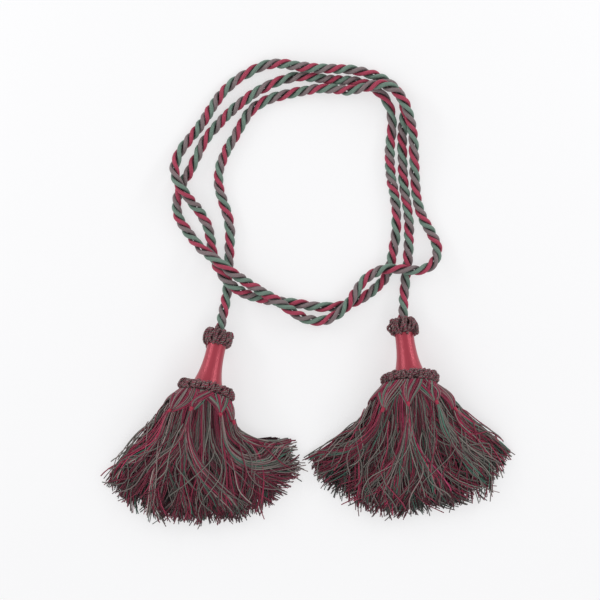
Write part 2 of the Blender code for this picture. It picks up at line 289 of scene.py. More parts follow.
class Finish:
    """A finish: a name, and a recipe that its kinds fill in."""

    name: str

    def dress(self, recipe: Recipe) -> None:
        """Fill in the recipe."""
        raise NotImplementedError

    def build(self) -> bpy.types.Material:
        """Make the material."""
        recipe = Recipe(self.name)
        self.dress(recipe)
        return recipe.material


@dataclass(frozen=True)
class YarnFinish(Finish):
    """Finish of twisted yarn, each yarn in its own dye.

    Attributes:
        name: The material's name.
        twist: Length of one turn of the yarn's own twist.
        plies: How many threads are twisted into the yarn.
        roughness: Roughness of the yarn.
        sheen: Strength of its soft edge light.
        groove: Strength of the painted shade in the grooves between its threads, 0 to 1.
        relief: Depth of the grooves.
    """

    name: str
    twist: float = 3.0 * MM
    plies: int = 2
    roughness: float = 0.6
    sheen: float = 0.14
    groove: float = 0.35
    relief: float = 0.1 * MM

    def dress(self, recipe: Recipe) -> None:
        """Fill in the recipe."""
        around, onward = recipe.along()
        turn = (around + onward / self.twist) * (tau * self.plies / 2)
        thread = turn.sine().absolute()
        fibre = recipe.noise(around * 3.0, onward * 260.0, 2.0)
        # Painted shade: the grooves between the twisted threads are darkened.
        shade = (1 - self.groove) + self.groove * thread
        shade = shade * (0.8 + 0.4 * fibre)
        recipe.surface("Base Color", recipe.tint(recipe.dye(), shade))
        recipe.surface("Roughness", self.roughness + 0.16 * (fibre - 0.5))
        recipe.constants(sheen_weight=self.sheen, sheen_roughness=0.45, specular_ior_level=0.35)
        recipe.bump(thread + 0.4 * fibre, self.relief)


TIE_THREAD = YarnFinish("tie thread", roughness=0.42, sheen=0.25, groove=0.1, relief=0.05 * MM)


@dataclass(frozen=True)
class PlyFinish(Finish):
    """Finish of the rope's thick plies: fine straight filaments, with painted shade between the
    filaments and where plies meet.

    Attributes:
        name: The material's name.
        filaments: How many filament ridges show round a ply.
        relief: Height of a filament ridge.
    """

    name: str = "rope ply"
    filaments: int = 26
    relief: float = 0.16 * MM

    def dress(self, recipe: Recipe) -> None:
        """Fill in the recipe."""
        around, onward = recipe.along()
        drift = recipe.noise(around * 4.0, onward * 40.0, 1.5, 1.0)
        ridge = ((around + onward * 9.0 + 0.05 * drift) * (pi * self.filaments)).sine().absolute()
        streak = recipe.noise(around * 30.0, onward * 45.0, 1.6)
        patch = recipe.noise(around * 2.0, onward * 60.0, 1.0)
        # Painted shade: each ply's colour darkens on its inner side, where the plies meet, and a
        # little between its filament ridges.
        inward = (1 - 2 * (around - 0.5).absolute()).clamped()
        depth = ((inward - 0.34) * 2.6).clamped()
        shade = (0.72 + 0.34 * streak + 0.14 * ridge) * (0.84 + 0.32 * patch)
        shade = shade * (1 - 0.82 * depth)
        recipe.surface("Base Color", recipe.tint(recipe.dye(), shade))
        recipe.surface("Roughness", 0.44 + 0.22 * streak)
        recipe.constants(sheen_weight=0.16, sheen_roughness=0.35, specular_ior_level=0.45)
        recipe.bump(0.6 * ridge + 0.7 * streak, self.relief)


@dataclass(frozen=True)
class SatinFinish(Finish):
    """Finish of thread laid side by side along the mould.

    Attributes:
        name: The material's name.
        threads: How many threads lie round the mould.
        relief: Height of a thread over its neighbours' grooves.
    """

    name: str = "satin thread"
    threads: int = 150
    relief: float = 0.015 * MM

    def dress(self, recipe: Recipe) -> None:
        """Fill in the recipe."""
        around, onward = recipe.along()
        wave = recipe.noise(around * 3.0, onward * 30.0, 1.0, 1.0)
        thread = ((around + 0.004 * wave) * (pi * self.threads)).sine().absolute()
        lustre = recipe.noise(around * 90.0, onward * 14.0, 1.0)
        streak = recipe.noise(around * 16.0, onward * 6.0, 1.0)
        # Painted shade: the colour is a little darker in the grooves between the threads.
        shade = (0.62 + 0.3 * lustre + 0.3 * streak) * (0.86 + 0.14 * thread)
        recipe.surface("Base Color", recipe.tint(recipe.dye(), shade))
        recipe.surface("Roughness", 0.25 + 0.1 * lustre)
        recipe.constants(metallic=0.4, specular_ior_level=0.7)
        recipe.bump(thread + 0.5 * lustre, self.relief)


@dataclass(frozen=True)
class PaperFinish(Finish):
    """Finish of the pale surface that the tieback lies on.

    Attributes:
        name: The material's name.
        colour: Its linear RGB colour.
        glow: Light that it gives of itself, which keeps the shadows soft.
    """

    name: str = "pale surface"
    colour: Colour = (0.44, 0.44, 0.45)
    glow: float = 0.54

    def dress(self, recipe: Recipe) -> None:
        """Fill in the recipe."""
        place = recipe.node("ShaderNodeTexCoord", {}, {}, "Object")
        inputs = {"Vector": place, "Scale": 3.0, "Detail": 1.0}
        cloud = recipe.node("ShaderNodeTexNoise", {}, inputs)
        recipe.surface("Base Color", recipe.tint(self.colour, 0.99 + 0.02 * cloud))
        recipe.constants(roughness=0.9, specular_ior_level=0.1)
        recipe.constants(emission_strength=self.glow, emission_color=(1.0, 1.0, 1.0))


# ------------------------------------------------------------------ meshes of yarn


@dataclass
class Strands:
    """Yarns gathered for one mesh: equal in points within each batch.

    Attributes:
        sides: Corners round a yarn.
        batches: Paths, radii, dyes and outward ways of each batch.
    """

    sides: int
    batches: list[tuple[Points, np.ndarray, np.ndarray, Points]] = field(default_factory=list)

    def add(
        self,
        paths: Points,
        radii: np.ndarray,
        dyes: np.ndarray,
        outward: Optional[Points] = None,
    ) -> None:
        """Add a batch of yarns.

        Args:
            paths: Centreline points, yarns by points by 3.
            radii: Radius at each point, yarns by points.
            dyes: One colour for each yarn.
            outward: Where the start of each ring faces, as paths; straight up if absent.
        """
        if outward is None:
            outward = np.zeros_like(paths)
            outward[..., 2] = 1.0
        self.batches.append((paths, np.broadcast_to(radii, paths.shape[:2]), dyes, outward))

    def _rings(self, paths: Points, radii: np.ndarray, outward: Points) -> Points:
        """Rings of points round each centreline, yarns by points by sides by 3."""
        heading = np.gradient(paths, axis=1)
        heading /= np.maximum(np.linalg.norm(heading, axis=2, keepdims=True), 1e-12)
        face = outward - heading * (outward * heading).sum(axis=2, keepdims=True)
        size = np.linalg.norm(face, axis=2, keepdims=True)
        face = np.where(size > 1e-6, face / np.maximum(size, 1e-9), np.roll(heading, 1, axis=2))
        side = np.cross(heading, face)
        turns = tau * np.arange(self.sides) / self.sides
        ring = face[:, :, None] * np.cos(turns)[:, None] + side[:, :, None] * np.sin(turns)[:, None]
        return paths[:, :, None] + ring * radii[:, :, None, None]

    def _faces(self, yarns: int, points: int, start: int) -> tuple[np.ndarray, np.ndarray]:
        """Corner numbers of a batch's side faces and of its end caps."""
        sides = self.sides
        number = start + np.arange(yarns * points * sides).reshape(yarns, points, sides)
        following = np.roll(number, -1, axis=2)
        corners = (number[:, :-1], following[:, :-1], following[:, 1:], number[:, 1:])
        walls = np.stack(corners, axis=-1).reshape(-1, 4)
        caps = np.concatenate([number[:, 0, ::-1], number[:, -1]])
        return walls, caps

    def _lay(self, paths: Points) -> np.ndarray:
        """UV corners of a batch's side faces: the way round, and metres along."""
        steps = np.linalg.norm(np.diff(paths, axis=1), axis=2)
        onward = np.concatenate([np.zeros((len(paths), 1)), np.cumsum(steps, axis=1)], axis=1)
        around = np.arange(self.sides + 1) / self.sides
        shape = (len(paths), paths.shape[1] - 1, self.sides)
        near = np.broadcast_to(onward[:, :-1, None], shape)
        far = np.broadcast_to(onward[:, 1:, None], shape)
        left = np.broadcast_to(around[:-1], shape)
        right = np.broadcast_to(around[1:], shape)
        corners = ((left, near), (right, near), (right, far), (left, far))
        return np.stack([np.stack(corner, axis=-1) for corner in corners], axis=-2).reshape(-1, 2)

    def build(self, name: str) -> bpy.types.Object:
        """Make one mesh object of all the yarns.

        Args:
            name: The object's name.

        Returns:
            The object, with a "lay" UV map and a "dye" colour.
        """
        places, dyes, walls, caps, lays = [], [], [], [], []
        start = 0
        for paths, radii, batch_dyes, outward in self.batches:
            rings = self._rings(paths, radii, outward)
            yarns, points = paths.shape[:2]
            wall, cap = self._faces(yarns, points, start)
            places.append(rings.reshape(-1, 3))
            dyes.append(np.repeat(batch_dyes, points * self.sides, axis=0))
            walls.append(wall)
            caps.append(cap)
            lays.append(self._lay(paths))
            start += yarns * points * self.sides
        wall_corners, cap_corners = np.concatenate(walls), np.concatenate(caps)
        mesh = mesh_of_faces(name, np.concatenate(places), (wall_corners, cap_corners))
        wall_lay = np.concatenate(lays)
        lay = np.zeros((len(mesh.loops), 2))
        lay[: len(wall_lay)] = wall_lay
        mesh.uv_layers.new(name="lay").data.foreach_set("uv", lay.astype(np.float32).ravel())
        set_dye(mesh, np.concatenate(dyes))
        return link(name, mesh)


def mesh_of_faces(name: str, places: Points, groups: Sequence[np.ndarray]) -> bpy.types.Mesh:
    """Make a smooth mesh from points and groups of faces with equal corner counts.

    Args:
        name: The mesh's name.
        places: The points.
        groups: For each group, the corner numbers, faces by corners.

    Returns:
        The mesh.
    """
    mesh = bpy.data.meshes.new(name)
    mesh.vertices.add(len(places))
    mesh.vertices.foreach_set("co", places.astype(np.float32).ravel())
    corners = np.concatenate([group.ravel() for group in groups]).astype(np.int32)
    counts = [np.full(len(group), group.shape[1]) for group in groups]
    totals = np.concatenate(counts).astype(np.int32)
    starts = np.concatenate([[0], np.cumsum(totals)[:-1]]).astype(np.int32)
    mesh.loops.add(len(corners))
    mesh.loops.foreach_set("vertex_index", corners)
    mesh.polygons.add(len(totals))
    mesh.polygons.foreach_set("loop_start", starts)
    mesh.polygons.foreach_set("loop_total", totals)
    mesh.polygons.foreach_set("use_smooth", np.ones(len(totals), bool))
    mesh.update(calc_edges=True)
    return mesh


def set_dye(mesh: bpy.types.Mesh, dyes: np.ndarray) -> None:
    """Give each vertex of a mesh its colour."""
    colour = np.ones((len(dyes), 4), np.float32)
    colour[:, :3] = dyes
    layer = mesh.color_attributes.new("dye", "FLOAT_COLOR", "POINT")
    layer.data.foreach_set("color", colour.ravel())


def link(name: str, mesh: bpy.types.Mesh) -> bpy.types.Object:
    """Put a mesh in the scene as an object at the origin."""
    made = bpy.data.objects.new(name, mesh)
    bpy.context.scene.collection.objects.link(made)
    return made


def finish_piece(
    piece: bpy.types.Object,
    material: bpy.types.Material,
    nodes: Sequence[str] = (),
) -> None:
    """Dress a piece, set it on its body, and hide the solids that it stands for.

    Args:
        piece: The object.
        material: Its finish.
        nodes: The CAD nodes that it replaces.
    """
    piece.data.materials.clear()
    piece.data.materials.append(material)
    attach(piece, BODY)
    if nodes:
        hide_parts(*nodes)
    triangles = sum(len(face.vertices) - 2 for face in piece.data.polygons)
    log.info("%s: %d triangles", piece.name, triangles)


# ------------------------------------------------------------------ small maths


def ease(low: float, high: float, value: Any) -> Any:
    """0 below low, 1 above high, and a smooth rise between."""
    share = np.clip((np.asarray(value) - low) / (high - low), 0.0, 1.0)
    return share * share * (3 - 2 * share)


def blend(start: Any, end: Any, share: Any) -> Any:
    """Value a share of the way from start to end."""
    return start + (end - start) * share


def reach_along(points: Points) -> np.ndarray:
    """How far along a line each of its points lies."""
    return np.concatenate(([0.0], np.cumsum(np.linalg.norm(np.diff(points, axis=0), axis=1))))


def square_to(path: Points, outward: Points) -> tuple[Points, Points]:
    """Two ways square to a path at each point: near the outward one, and to its side."""
    heading = np.gradient(path, axis=0)
    heading /= np.linalg.norm(heading, axis=1, keepdims=True)
    face = outward - heading * (outward * heading).sum(axis=1, keepdims=True)
    face /= np.linalg.norm(face, axis=1, keepdims=True)
    return face, np.cross(heading, face)


def spline_through(points: Points, steps: int) -> Points:
    """Points along the natural cubic spline that runs through the given points.

    Args:
        points: The points that it runs through.
        steps: How many points to return.

    Returns:
        Points along the spline.
    """
    knots = reach_along(points)
    spans = np.linalg.norm(np.diff(points, axis=0), axis=1)
    system = np.eye(len(points))
    turn = np.zeros_like(points)
    for here in range(1, len(points) - 1):
        before, after = spans[here - 1], spans[here]
        system[here, here - 1 : here + 2] = before, 2 * (before + after), after
        leaving = (points[here + 1] - points[here]) / after
        arriving = (points[here] - points[here - 1]) / before
        turn[here] = 6 * (leaving - arriving)
    bend = np.linalg.solve(system, turn)
    way = np.linspace(0.0, knots[-1], steps)
    span = np.clip(np.searchsorted(knots, way) - 1, 0, len(spans) - 1)
    width = spans[span][:, None]
    left = (knots[span + 1] - way)[:, None]
    right = (way - knots[span])[:, None]
    curved = (bend[span] * left**3 + bend[span + 1] * right**3) / (6 * width)
    straight_left = (points[span] / width - bend[span] * width / 6) * left
    straight_right = (points[span + 1] / width - bend[span + 1] * width / 6) * right
    return curved + straight_left + straight_right


def even_steps(points: Points, count: int) -> Points:
    """The same line read at a number of points equally far apart along it."""
    reach = reach_along(points)
    wanted = np.linspace(0.0, reach[-1], count)
    return np.column_stack([np.interp(wanted, reach, points[:, axis]) for axis in range(3)])


class Wander:
    """Smooth, repeatable wandering: a few sine waves over two coordinates."""

    def __init__(self, rng: np.random.Generator, waves: int, across: float, along: float) -> None:
        """Choose the waves.

        Args:
            rng: Source of chance.
            waves: How many waves are added.
            across: Highest number of waves over one unit of the first coordinate.
            along: Highest number of waves over one unit of the second coordinate.
        """
        self.across = rng.uniform(0.3, 1.0, waves) * across * rng.choice([-1, 1], waves)
        self.along = rng.uniform(0.3, 1.0, waves) * along
        self.phase = rng.uniform(0.0, tau, waves)

    def __call__(self, first: Any, second: Any) -> Any:
        """The wandering at a place, about -1 to 1."""
        first, second = np.broadcast_arrays(first, second)
        total = np.zeros(first.shape)
        for across, along, phase in zip(self.across, self.along, self.phase):
            total += np.sin(tau * (across * first + along * second) + phase)
        return total / len(self.phase) ** 0.5


# ------------------------------------------------------------------ the tassel's form


@dataclass(frozen=True)
class SkirtSizes:
    """Sizes of the skirt's form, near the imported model's.

    Attributes:
        rise: Slope of the head down to the rope.
        head_radius: Radius of the skirt's head, under the lower ruff.
        shoulder: How far the skirt swells aside just below its head.
        head_drop: From the lower ruff's centre down the head to the skirt's head.
        edge_height: Height of the skirt's side edges.
        flat_from: Way down where the underside lies flat.
        hem_half: Half the hem's width.
        lowest: Lowest place of a yarn's middle.
        fall: Power of the fall from the head to the hem.
        crest_round: Power of the hem's rounding toward its sides.
        edge_round: Power of the underside's rise toward its sides.
    """

    rise: float = radians(15)
    head_radius: float = 19 * MM
    shoulder: float = 1.9 * MM
    head_drop: float = 4.2 * MM
    edge_height: float = 3.5 * MM
    flat_from: float = 0.36
    hem_half: float = 86 * MM
    lowest: float = 0.5 * MM
    fall: float = 1.55
    crest_round: float = 8
    edge_round: float = 12


SKIRT = SkirtSizes()


@dataclass(frozen=True)
class Form:
    """One tassel's place and the spread of its skirt.

    Attributes:
        name: The tassel's name, which starts its pieces' names.
        mould_turn: Turn of the mould from the Y axis, in degrees.
        ruff_turn: Turn of the lower ruff, net and skirt's head, in degrees.
        aside: How far the skirt's head lies aside of the lower ruff.
        fan: The plan point that the ribs are measured from.
        ribs: The fan's ribs: share across the skirt, bearing and reach halfway down, bearing
            and reach at the hem (degrees from -Y, millimetres), and the hem's crest.
        centre: The lower ruff's centre.
        length: From the lower ruff's centre to the top ruff's.
    """

    name: str
    mould_turn: float
    ruff_turn: float
    aside: float
    fan: tuple[float, float]
    ribs: tuple[tuple[float, ...], ...]
    centre: Vector
    length: float

    def axes(self, turn: float) -> Matrix:
        """A head's axes in columns: X across, Y down to the surface, Z to the rope."""
        upright = Matrix.Rotation(-radians(turn), 3, "Z")
        return upright @ Matrix.Rotation(-(pi / 2 + SKIRT.rise), 3, "X")

    def head(self, turn: float, points: Points) -> Points:
        """Points given on a head's own axes, moved to their places.

        Args:
            turn: The head's turn from the Y axis, in degrees.
            points: Places across, down and toward the rope.

        Returns:
            The same points in the frame.
        """
        return points @ np.array(self.axes(turn)).T + np.array(self.centre)

    def _polar(self, bearing: np.ndarray, reach: np.ndarray) -> np.ndarray:
        """Plan points at bearings from -Y (degrees) and reaches (mm)."""
        angle = np.radians(bearing)
        spread = np.stack([np.sin(angle), -np.cos(angle)], axis=-1)
        return np.array(self.fan) + spread * (reach * MM)[..., None]

    def surface(self, turn: Any, way: Any, lift: Any = 0.0) -> Points:
        """Points of the skirt's surface.

        Args:
            turn: Way round the tassel from its top, over its right side.
            way: Way from the skirt's head (0) to the hem (1).
            lift: Height off the surface.

        Returns:
            The points.
        """
        turn, way, lift = np.broadcast_arrays(turn, way, lift)
        share, upward = np.sin(turn), np.cos(turn)
        ruff = radians(self.ruff_turn)
        along, across = np.array([sin(ruff), cos(ruff)]), np.array([cos(ruff), -sin(ruff)])
        ribs = np.array(self.ribs)
        half_bearing, half_reach, hem_bearing, hem_reach, crest = (
            np.interp(share, ribs[:, 0], ribs[:, column]) for column in range(1, 6)
        )
        radius = SKIRT.head_radius + lift
        head = np.array(self.centre[:2]) - along * SKIRT.head_drop
        head = head + across * (self.aside + radius * share)[..., None]
        weights = (2 * (way - 0.5) * (way - 1), 4 * way * (1 - way), 2 * way * (way - 0.5))
        plan = head * weights[0][..., None]
        plan = plan + self._polar(half_bearing, half_reach) * weights[1][..., None]
        plan = plan + self._polar(hem_bearing, hem_reach) * weights[2][..., None]
        tilt = np.maximum(0.0, 1 - way / SKIRT.flat_from)
        plan = plan + along * (radius * upward * sin(SKIRT.rise) * tilt)[..., None]
        plan = plan + across * (lift * share * (1 - tilt))[..., None]
        plan = plan + across * (SKIRT.shoulder * share * 4 * tilt * (1 - tilt))[..., None]
        top = self.centre[2] + SKIRT.head_drop * sin(SKIRT.rise) + radius * upward * cos(SKIRT.rise)
        left = np.maximum(1 - way, 0.0)
        rounding = 1 - np.abs(share) ** SKIRT.crest_round
        hem = SKIRT.edge_height + (crest * MM - SKIRT.edge_height) * rounding + lift
        over = blend(top, hem, 1 - left**SKIRT.fall)
        settled = np.minimum(way / SKIRT.flat_from, 1.0)
        under = blend(top, SKIRT.edge_height * np.abs(share) ** SKIRT.edge_round, settled)
        height = np.where(upward >= 0, over, under)
        return np.concatenate([plan, height[..., None]], axis=-1)

    def inside(self, share: Any, way: Any, level: Any, lift: Any) -> Points:
        """Points inside the skirt.

        Args:
            share: Way across the skirt, -1 left to 1 right; a little more lies outside it.
            way: Way from the skirt's head to the hem.
            level: Way from the underside (0) to the top (1).
            lift: Height off the top surface.

        Returns:
            The points, none lower than a yarn's radius over the floor.
        """
        share, way, level, lift = np.broadcast_arrays(share, way, level, lift)
        held = np.clip(share, -0.999, 0.999)
        lean = np.arcsin(held)
        top = self.surface(lean, way, lift)
        bottom = self.surface(pi - lean, way, np.zeros_like(lift))
        place = blend(bottom, top, level[..., None])
        ruff = radians(self.ruff_turn)
        outside = (share - held) * blend(SKIRT.head_radius, SKIRT.hem_half, way)
        place[..., 0] += outside * cos(ruff)
        place[..., 1] -= outside * sin(ruff)
        place[..., 2] = np.maximum(place[..., 2], SKIRT.lowest)
        return place


LEFT_RIBS = (
    (-1.0, -58, 57, -48.5, 105, 6),
    (-0.85, -48, 56, -41, 107, 8),
    (-0.5, -29, 54, -25, 106, 10),
    (-0.2, -12, 52, -9, 102, 11),
    (0.1, 6, 52, 8, 101, 10),
    (0.4, 21, 52, 24, 105, 11),
    (0.65, 31, 50, 39, 101, 10),
    (0.85, 38, 47, 53, 98, 9),
    (1.0, 45, 43, 63, 76, 7),
)
RIGHT_RIBS = (
    (-1.0, -52, 58, -53, 102, 6),
    (-0.85, -43, 56, -44, 107, 8),
    (-0.5, -26, 54, -26, 108, 10),
    (-0.2, -10, 53, -9, 107, 11),
    (0.1, 5, 53, 5, 106, 10),
    (0.4, 20, 53, 20, 106, 11),
    (0.65, 35, 54, 35, 108, 10),
    (0.85, 47, 55, 46, 104, 9),
    (1.0, 59, 57, 54.5, 99, 6),
)


def box_centre(node: str) -> Vector:
    """The middle of a CAD node's box."""
    low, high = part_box(node)
    return (low + high) / 2


def read_form(name: str, *spread: Any) -> Form:
    """Take a tassel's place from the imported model, and add what the model doesn't say."""
    centre = box_centre(f"{name}_lower_ruff")
    length = (box_centre(f"{name}_top_ruff") - centre).length
    return Form(name, *spread, centre, length)


# ------------------------------------------------------------------ turned pieces


def turned(
    name: str,
    base: Vector,
    axes: Matrix,
    profile: Sequence[tuple[float, float]],
    sides: int,
) -> bpy.types.Object:
    """Turn a closed piece: a disc extruded along its axis and resized at every ring.

    Args:
        name: The object's name.
        base: Where height 0 lies.
        axes: The piece's axes in columns; its axis is the third.
        profile: Radius and height of each ring, upward.
        sides: Corners of a ring.

    Returns:
        The object, with its place in its mesh.
    """
    axis = axes.col[2]
    radius, height = profile[0]
    bpy.ops.object.select_all(action="DESELECT")
    bpy.ops.mesh.primitive_circle_add(
        vertices=sides,
        radius=radius,
        fill_type="NGON",
        location=base + axis * height,
        rotation=axes.to_euler(),
    )
    piece = bpy.context.view_layer.objects.active
    piece.name = name
    bpy.ops.object.mode_set(mode="EDIT")
    bpy.ops.mesh.select_mode(type="FACE")
    bpy.ops.mesh.select_all(action="SELECT")
    for next_radius, next_height in profile[1:]:
        move = {"value": axis * (next_height - height)}
        bpy.ops.mesh.extrude_region_move(TRANSFORM_OT_translate=move)
        scale = next_radius / radius
        centre = base + axis * next_height
        bpy.ops.transform.resize(value=(scale, scale, scale), center_override=centre)
        radius, height = next_radius, next_height
    bpy.ops.mesh.select_all(action="SELECT")
    bpy.ops.mesh.normals_make_consistent(inside=False)
    bpy.ops.object.mode_set(mode="OBJECT")
    bpy.ops.object.transform_apply(location=True, rotation=True, scale=True)
    bpy.ops.object.shade_smooth_by_angle(angle=SMOOTH_BELOW)
    piece.select_set(False)
    return piece


def lay_round(piece: bpy.types.Object, base: Vector, axes: Matrix, colour: Colour) -> None:
    """Give a turned piece its "lay" UV (way round, metres along) and its dye.

    Args:
        piece: The piece.
        base: A point on its axis.
        axes: Its axes in columns.
        colour: Its linear RGB dye.
    """
    mesh = piece.data
    places = np.empty(len(mesh.vertices) * 3, np.float32)
    mesh.vertices.foreach_get("co", places)
    local = (places.reshape(-1, 3) - np.array(base)) @ np.array(axes)
    around = (np.arctan2(local[:, 1], local[:, 0]) / tau) % 1.0
    corners = np.empty(len(mesh.loops), np.int32)
    mesh.loops.foreach_get("vertex_index", corners)
    lay = np.stack([around[corners], local[corners, 2]], axis=-1)
    for face in mesh.polygons:
        part = lay[face.loop_start : face.loop_start + face.loop_total, 0]
        if part.max() - part.min() > 0.5:
            part[part < 0.5] += 1.0
    while mesh.uv_layers:
        mesh.uv_layers.remove(mesh.uv_layers[0])
    mesh.uv_layers.new(name="lay").data.foreach_set("uv", lay.astype(np.float32).ravel())
    set_dye(mesh, np.tile(colour, (len(mesh.vertices), 1)))


# ------------------------------------------------------------------ rope


ROUTE = (
    (-69.1, 67.5, 11.3), (-66.5, 83, 7.5), (-63.3, 101, 4), (-62, 124, 4), (-63, 158, 4),
    (-70, 182, 4), (-66, 204, 4), (-56, 222, 4), (-46, 238, 4), (-31, 248, 4),
    (-9, 253.5, 4), (10, 256, 7), (29, 254.5, 9), (43, 256.5, 12.2), (56, 258.5, 13),
    (67.5, 252.5, 13.2), (75, 239, 12.8), (79.5, 221, 9.5), (80.5, 200, 7), (82, 178, 5),
    (87, 157, 4), (95, 143, 4), (98.5, 131, 5), (94, 120.5, 8.5), (83, 116, 11.5),
    (68, 117, 12.8), (54, 116, 11.5), (42, 108, 10.8), (30, 91, 12.8), (19, 80.5, 9.5),
    (4.5, 77, 5.5), (-10, 82.5, 9.5), (-24, 92, 12.7), (-44, 104, 13), (-62, 116.5, 16.8),
    (-72, 124, 16.2), (-84, 133.5, 8.5), (-91, 142, 4), (-102, 161, 4), (-100, 178, 4),
    (-91, 195, 4), (-82, 214, 4), (-68, 231, 4.5), (-50, 247, 8), (-28, 260, 5),
    (-7, 265.5, 4), (13, 263.5, 4), (32, 262, 4), (48, 257.5, 4), (58, 249, 4),
    (63, 236, 4), (62.5, 214, 4), (62, 196, 4), (66, 170, 4), (67, 152, 4),
    (64, 128, 4), (58.5, 111, 4), (47, 99, 4), (30, 90, 4), (8, 88, 4),
    (-14, 91, 4), (-36, 94, 4.5), (-51, 99, 9), (-62.5, 107, 12.8), (-71.5, 120, 8),
    (-75, 132, 4.5), (-78, 148, 4), (-86, 163, 5), (-95, 174.5, 12.5), (-101, 183, 12.6),
    (-104, 194, 7.5), (-100.5, 206, 4.3), (-90, 220, 4), (-80, 234, 4), (-66, 254, 4),
    (-48, 268, 4), (-27, 275.3, 6), (-7, 272.5, 9.5), (16, 271, 9.3), (38, 269.5, 7),
    (56, 263.5, 4), (67.5, 254.5, 4), (73, 243, 4), (72, 226, 4), (71.7, 202, 4),
    (73, 180, 4), (76, 160, 4), (76.3, 132, 4), (74.5, 112, 4), (72.6, 94, 6),
    (71.5, 76.5, 11.4),
)  # fmt: skip


@dataclass(frozen=True)
class Rope:
    """The three-ply rope.

    Attributes:
        diameter: Diameter over the plies.
        ply_radius: Radius of one ply.
        looseness: How far the plies stray from the rope's middle, in and out.
        unevenness: How far, in radians, the plies' turn runs ahead or behind.
        pitch: Length of one turn of a ply.
        stray: How far, in radians, one ply's turn wanders by itself.
        stations: Points along a ply.
        sides: Corners round a ply.
        plies: The plies' dyes, in their order round the rope.
    """

    diameter: float = 8 * MM
    ply_radius: float = 1.66 * MM
    looseness: float = 0.2 * MM
    unevenness: float = 0.7
    pitch: float = 23.5 * MM
    stray: float = 0.16
    stations: int = 1100
    sides: int = 10
    plies: tuple[Dye, ...] = (Dye.CRIMSON_PLY, Dye.TEAL_PLY, Dye.TAUPE_PLY)

    def centreline(self) -> Points:
        """The rope's middle, at even steps."""
        fine = spline_through(np.array(ROUTE, float) * MM, 6000)
        fine[:, 2] = np.maximum(fine[:, 2], self.diameter / 2)
        return even_steps(fine, self.stations)

    def build(self, material: bpy.types.Material) -> bpy.types.Object:
        """Args:
            material: The plies' finish.

        Returns:
            The rope.
        """
        middle = self.centreline()
        upright, side = square_to(middle, np.array([[0.0, 0.0, 1.0]]))
        reach = reach_along(middle)
        rng = np.random.default_rng(5)
        slack = self.unevenness * Wander(rng, 6, 0.0, 11.0)(0.0, reach)
        strands = Strands(self.sides)
        for number, dye in enumerate(self.plies):
            loose = self.looseness * Wander(rng, 6, 0.0, 30.0)(0.0, reach)
            helix = self.diameter / 2 - self.ply_radius + loose
            turn = tau * (number / len(self.plies) - reach / self.pitch) + slack
            turn = turn + self.stray * Wander(rng, 5, 0.0, 40.0)(0.0, reach)
            outward = np.cos(turn)[:, None] * upright + np.sin(turn)[:, None] * side
            path = middle + outward * helix[:, None]
            path[:, 2] = np.maximum(path[:, 2], self.ply_radius)
            radii = np.full((1, len(path)), self.ply_radius)
            strands.add(path[None], radii, np.array([dye.value]), outward[None])
        rope = strands.build("laid_rope")
        finish_piece(rope, material, ["rope"])
        log.info("rope length %.3f m", reach[-1])
        return rope


# ------------------------------------------------------------------ tassel head


@dataclass(frozen=True)
class MouldSizes:
    """Sizes of the mould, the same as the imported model's.

    Attributes:
        base: Height of its base over the lower ruff's centre.
        base_radius: Radius at its base.
        top_radius: Radius at its top.
        top_below_ruff: From its top to the top ruff's centre.
        flare: Power of its widening toward the base.
        rings: Rings from its base to its top.
        sides: Corners of a ring.
    """

    base: float = -1.5 * MM
    base_radius: float = 14.2 * MM
    top_radius: float = 7.2 * MM
    top_below_ruff: float = 5.8 * MM
    flare: float = 2.6
    rings: int = 30
    sides: int = 72


@dataclass(frozen=True)
class Mould:
    """The bell of a tassel, wrapped lengthwise in satin thread."""

    form: Form
    sizes: MouldSizes = MouldSizes()

    def profile(self) -> list[tuple[float, float]]:
        """Radius and height of each ring, from the base to the top."""
        sizes = self.sizes
        top = self.form.length - sizes.top_below_ruff
        rings = []
        for step in range(sizes.rings):
            share = step / (sizes.rings - 1)
            radius = blend(sizes.top_radius, sizes.base_radius, (1 - share) ** sizes.flare)
            rings.append((radius, blend(sizes.base, top, share)))
        return rings

    def build(self, material: bpy.types.Material) -> bpy.types.Object:
        """Turn the bell and lay its thread."""
        axes = self.form.axes(self.form.mould_turn)
        name = f"{self.form.name}_satin_bell"
        bell = turned(name, self.form.centre, axes, self.profile(), self.sizes.sides)
        lay_round(bell, self.form.centre, axes, Dye.SATIN.value)
        finish_piece(bell, material, [f"{self.form.name}_mould"])
        return bell


class RuffKind(Enum):
    """Which of a tassel's two ruffs."""

    TOP = "top_ruff"
    LOWER = "lower_ruff"


@dataclass(frozen=True)
class RuffSizes:
    """Sizes of a ruff: a coil of twisted gimp laid round a ring.

    Attributes:
        ring: Radius of the ring's middle.
        wide: Half the coil's width across the ring.
        tall: Half the coil's height along the head.
        loops: Loops round the ring.
        strand: Radius of one of the gimp's strands.
        helix: Radius that the strands wind at.
        pitch: Length of one turn of the strands.
        uneven: How much the loops differ, 0 to 1.
        knot: How far the gimp's small kinks stray.
        points: Points along the whole gimp.
    """

    ring: float
    wide: float
    tall: float
    loops: int
    strand: float
    helix: float
    pitch: float
    uneven: float
    knot: float
    points: int


RUFF_SIZES = {
    RuffKind.TOP: RuffSizes(
        ring=7.4 * MM,
        wide=3.0 * MM,
        tall=5.1 * MM,
        loops=29,
        strand=0.46 * MM,
        helix=0.7 * MM,
        pitch=3.2 * MM,
        uneven=1.4,
        knot=1.0 * MM,
        points=1700,
    ),
    RuffKind.LOWER: RuffSizes(
        ring=18.4 * MM,
        wide=2.7 * MM,
        tall=2.6 * MM,
        loops=66,
        strand=0.46 * MM,
        helix=0.66 * MM,
        pitch=3.2 * MM,
        uneven=1.6,
        knot=0.7 * MM,
        points=2300,
    ),
}
GIMP_DYES = (Dye.BURGUNDY, Dye.GREY_GREEN, Dye.WINE, Dye.WARM_GREY)


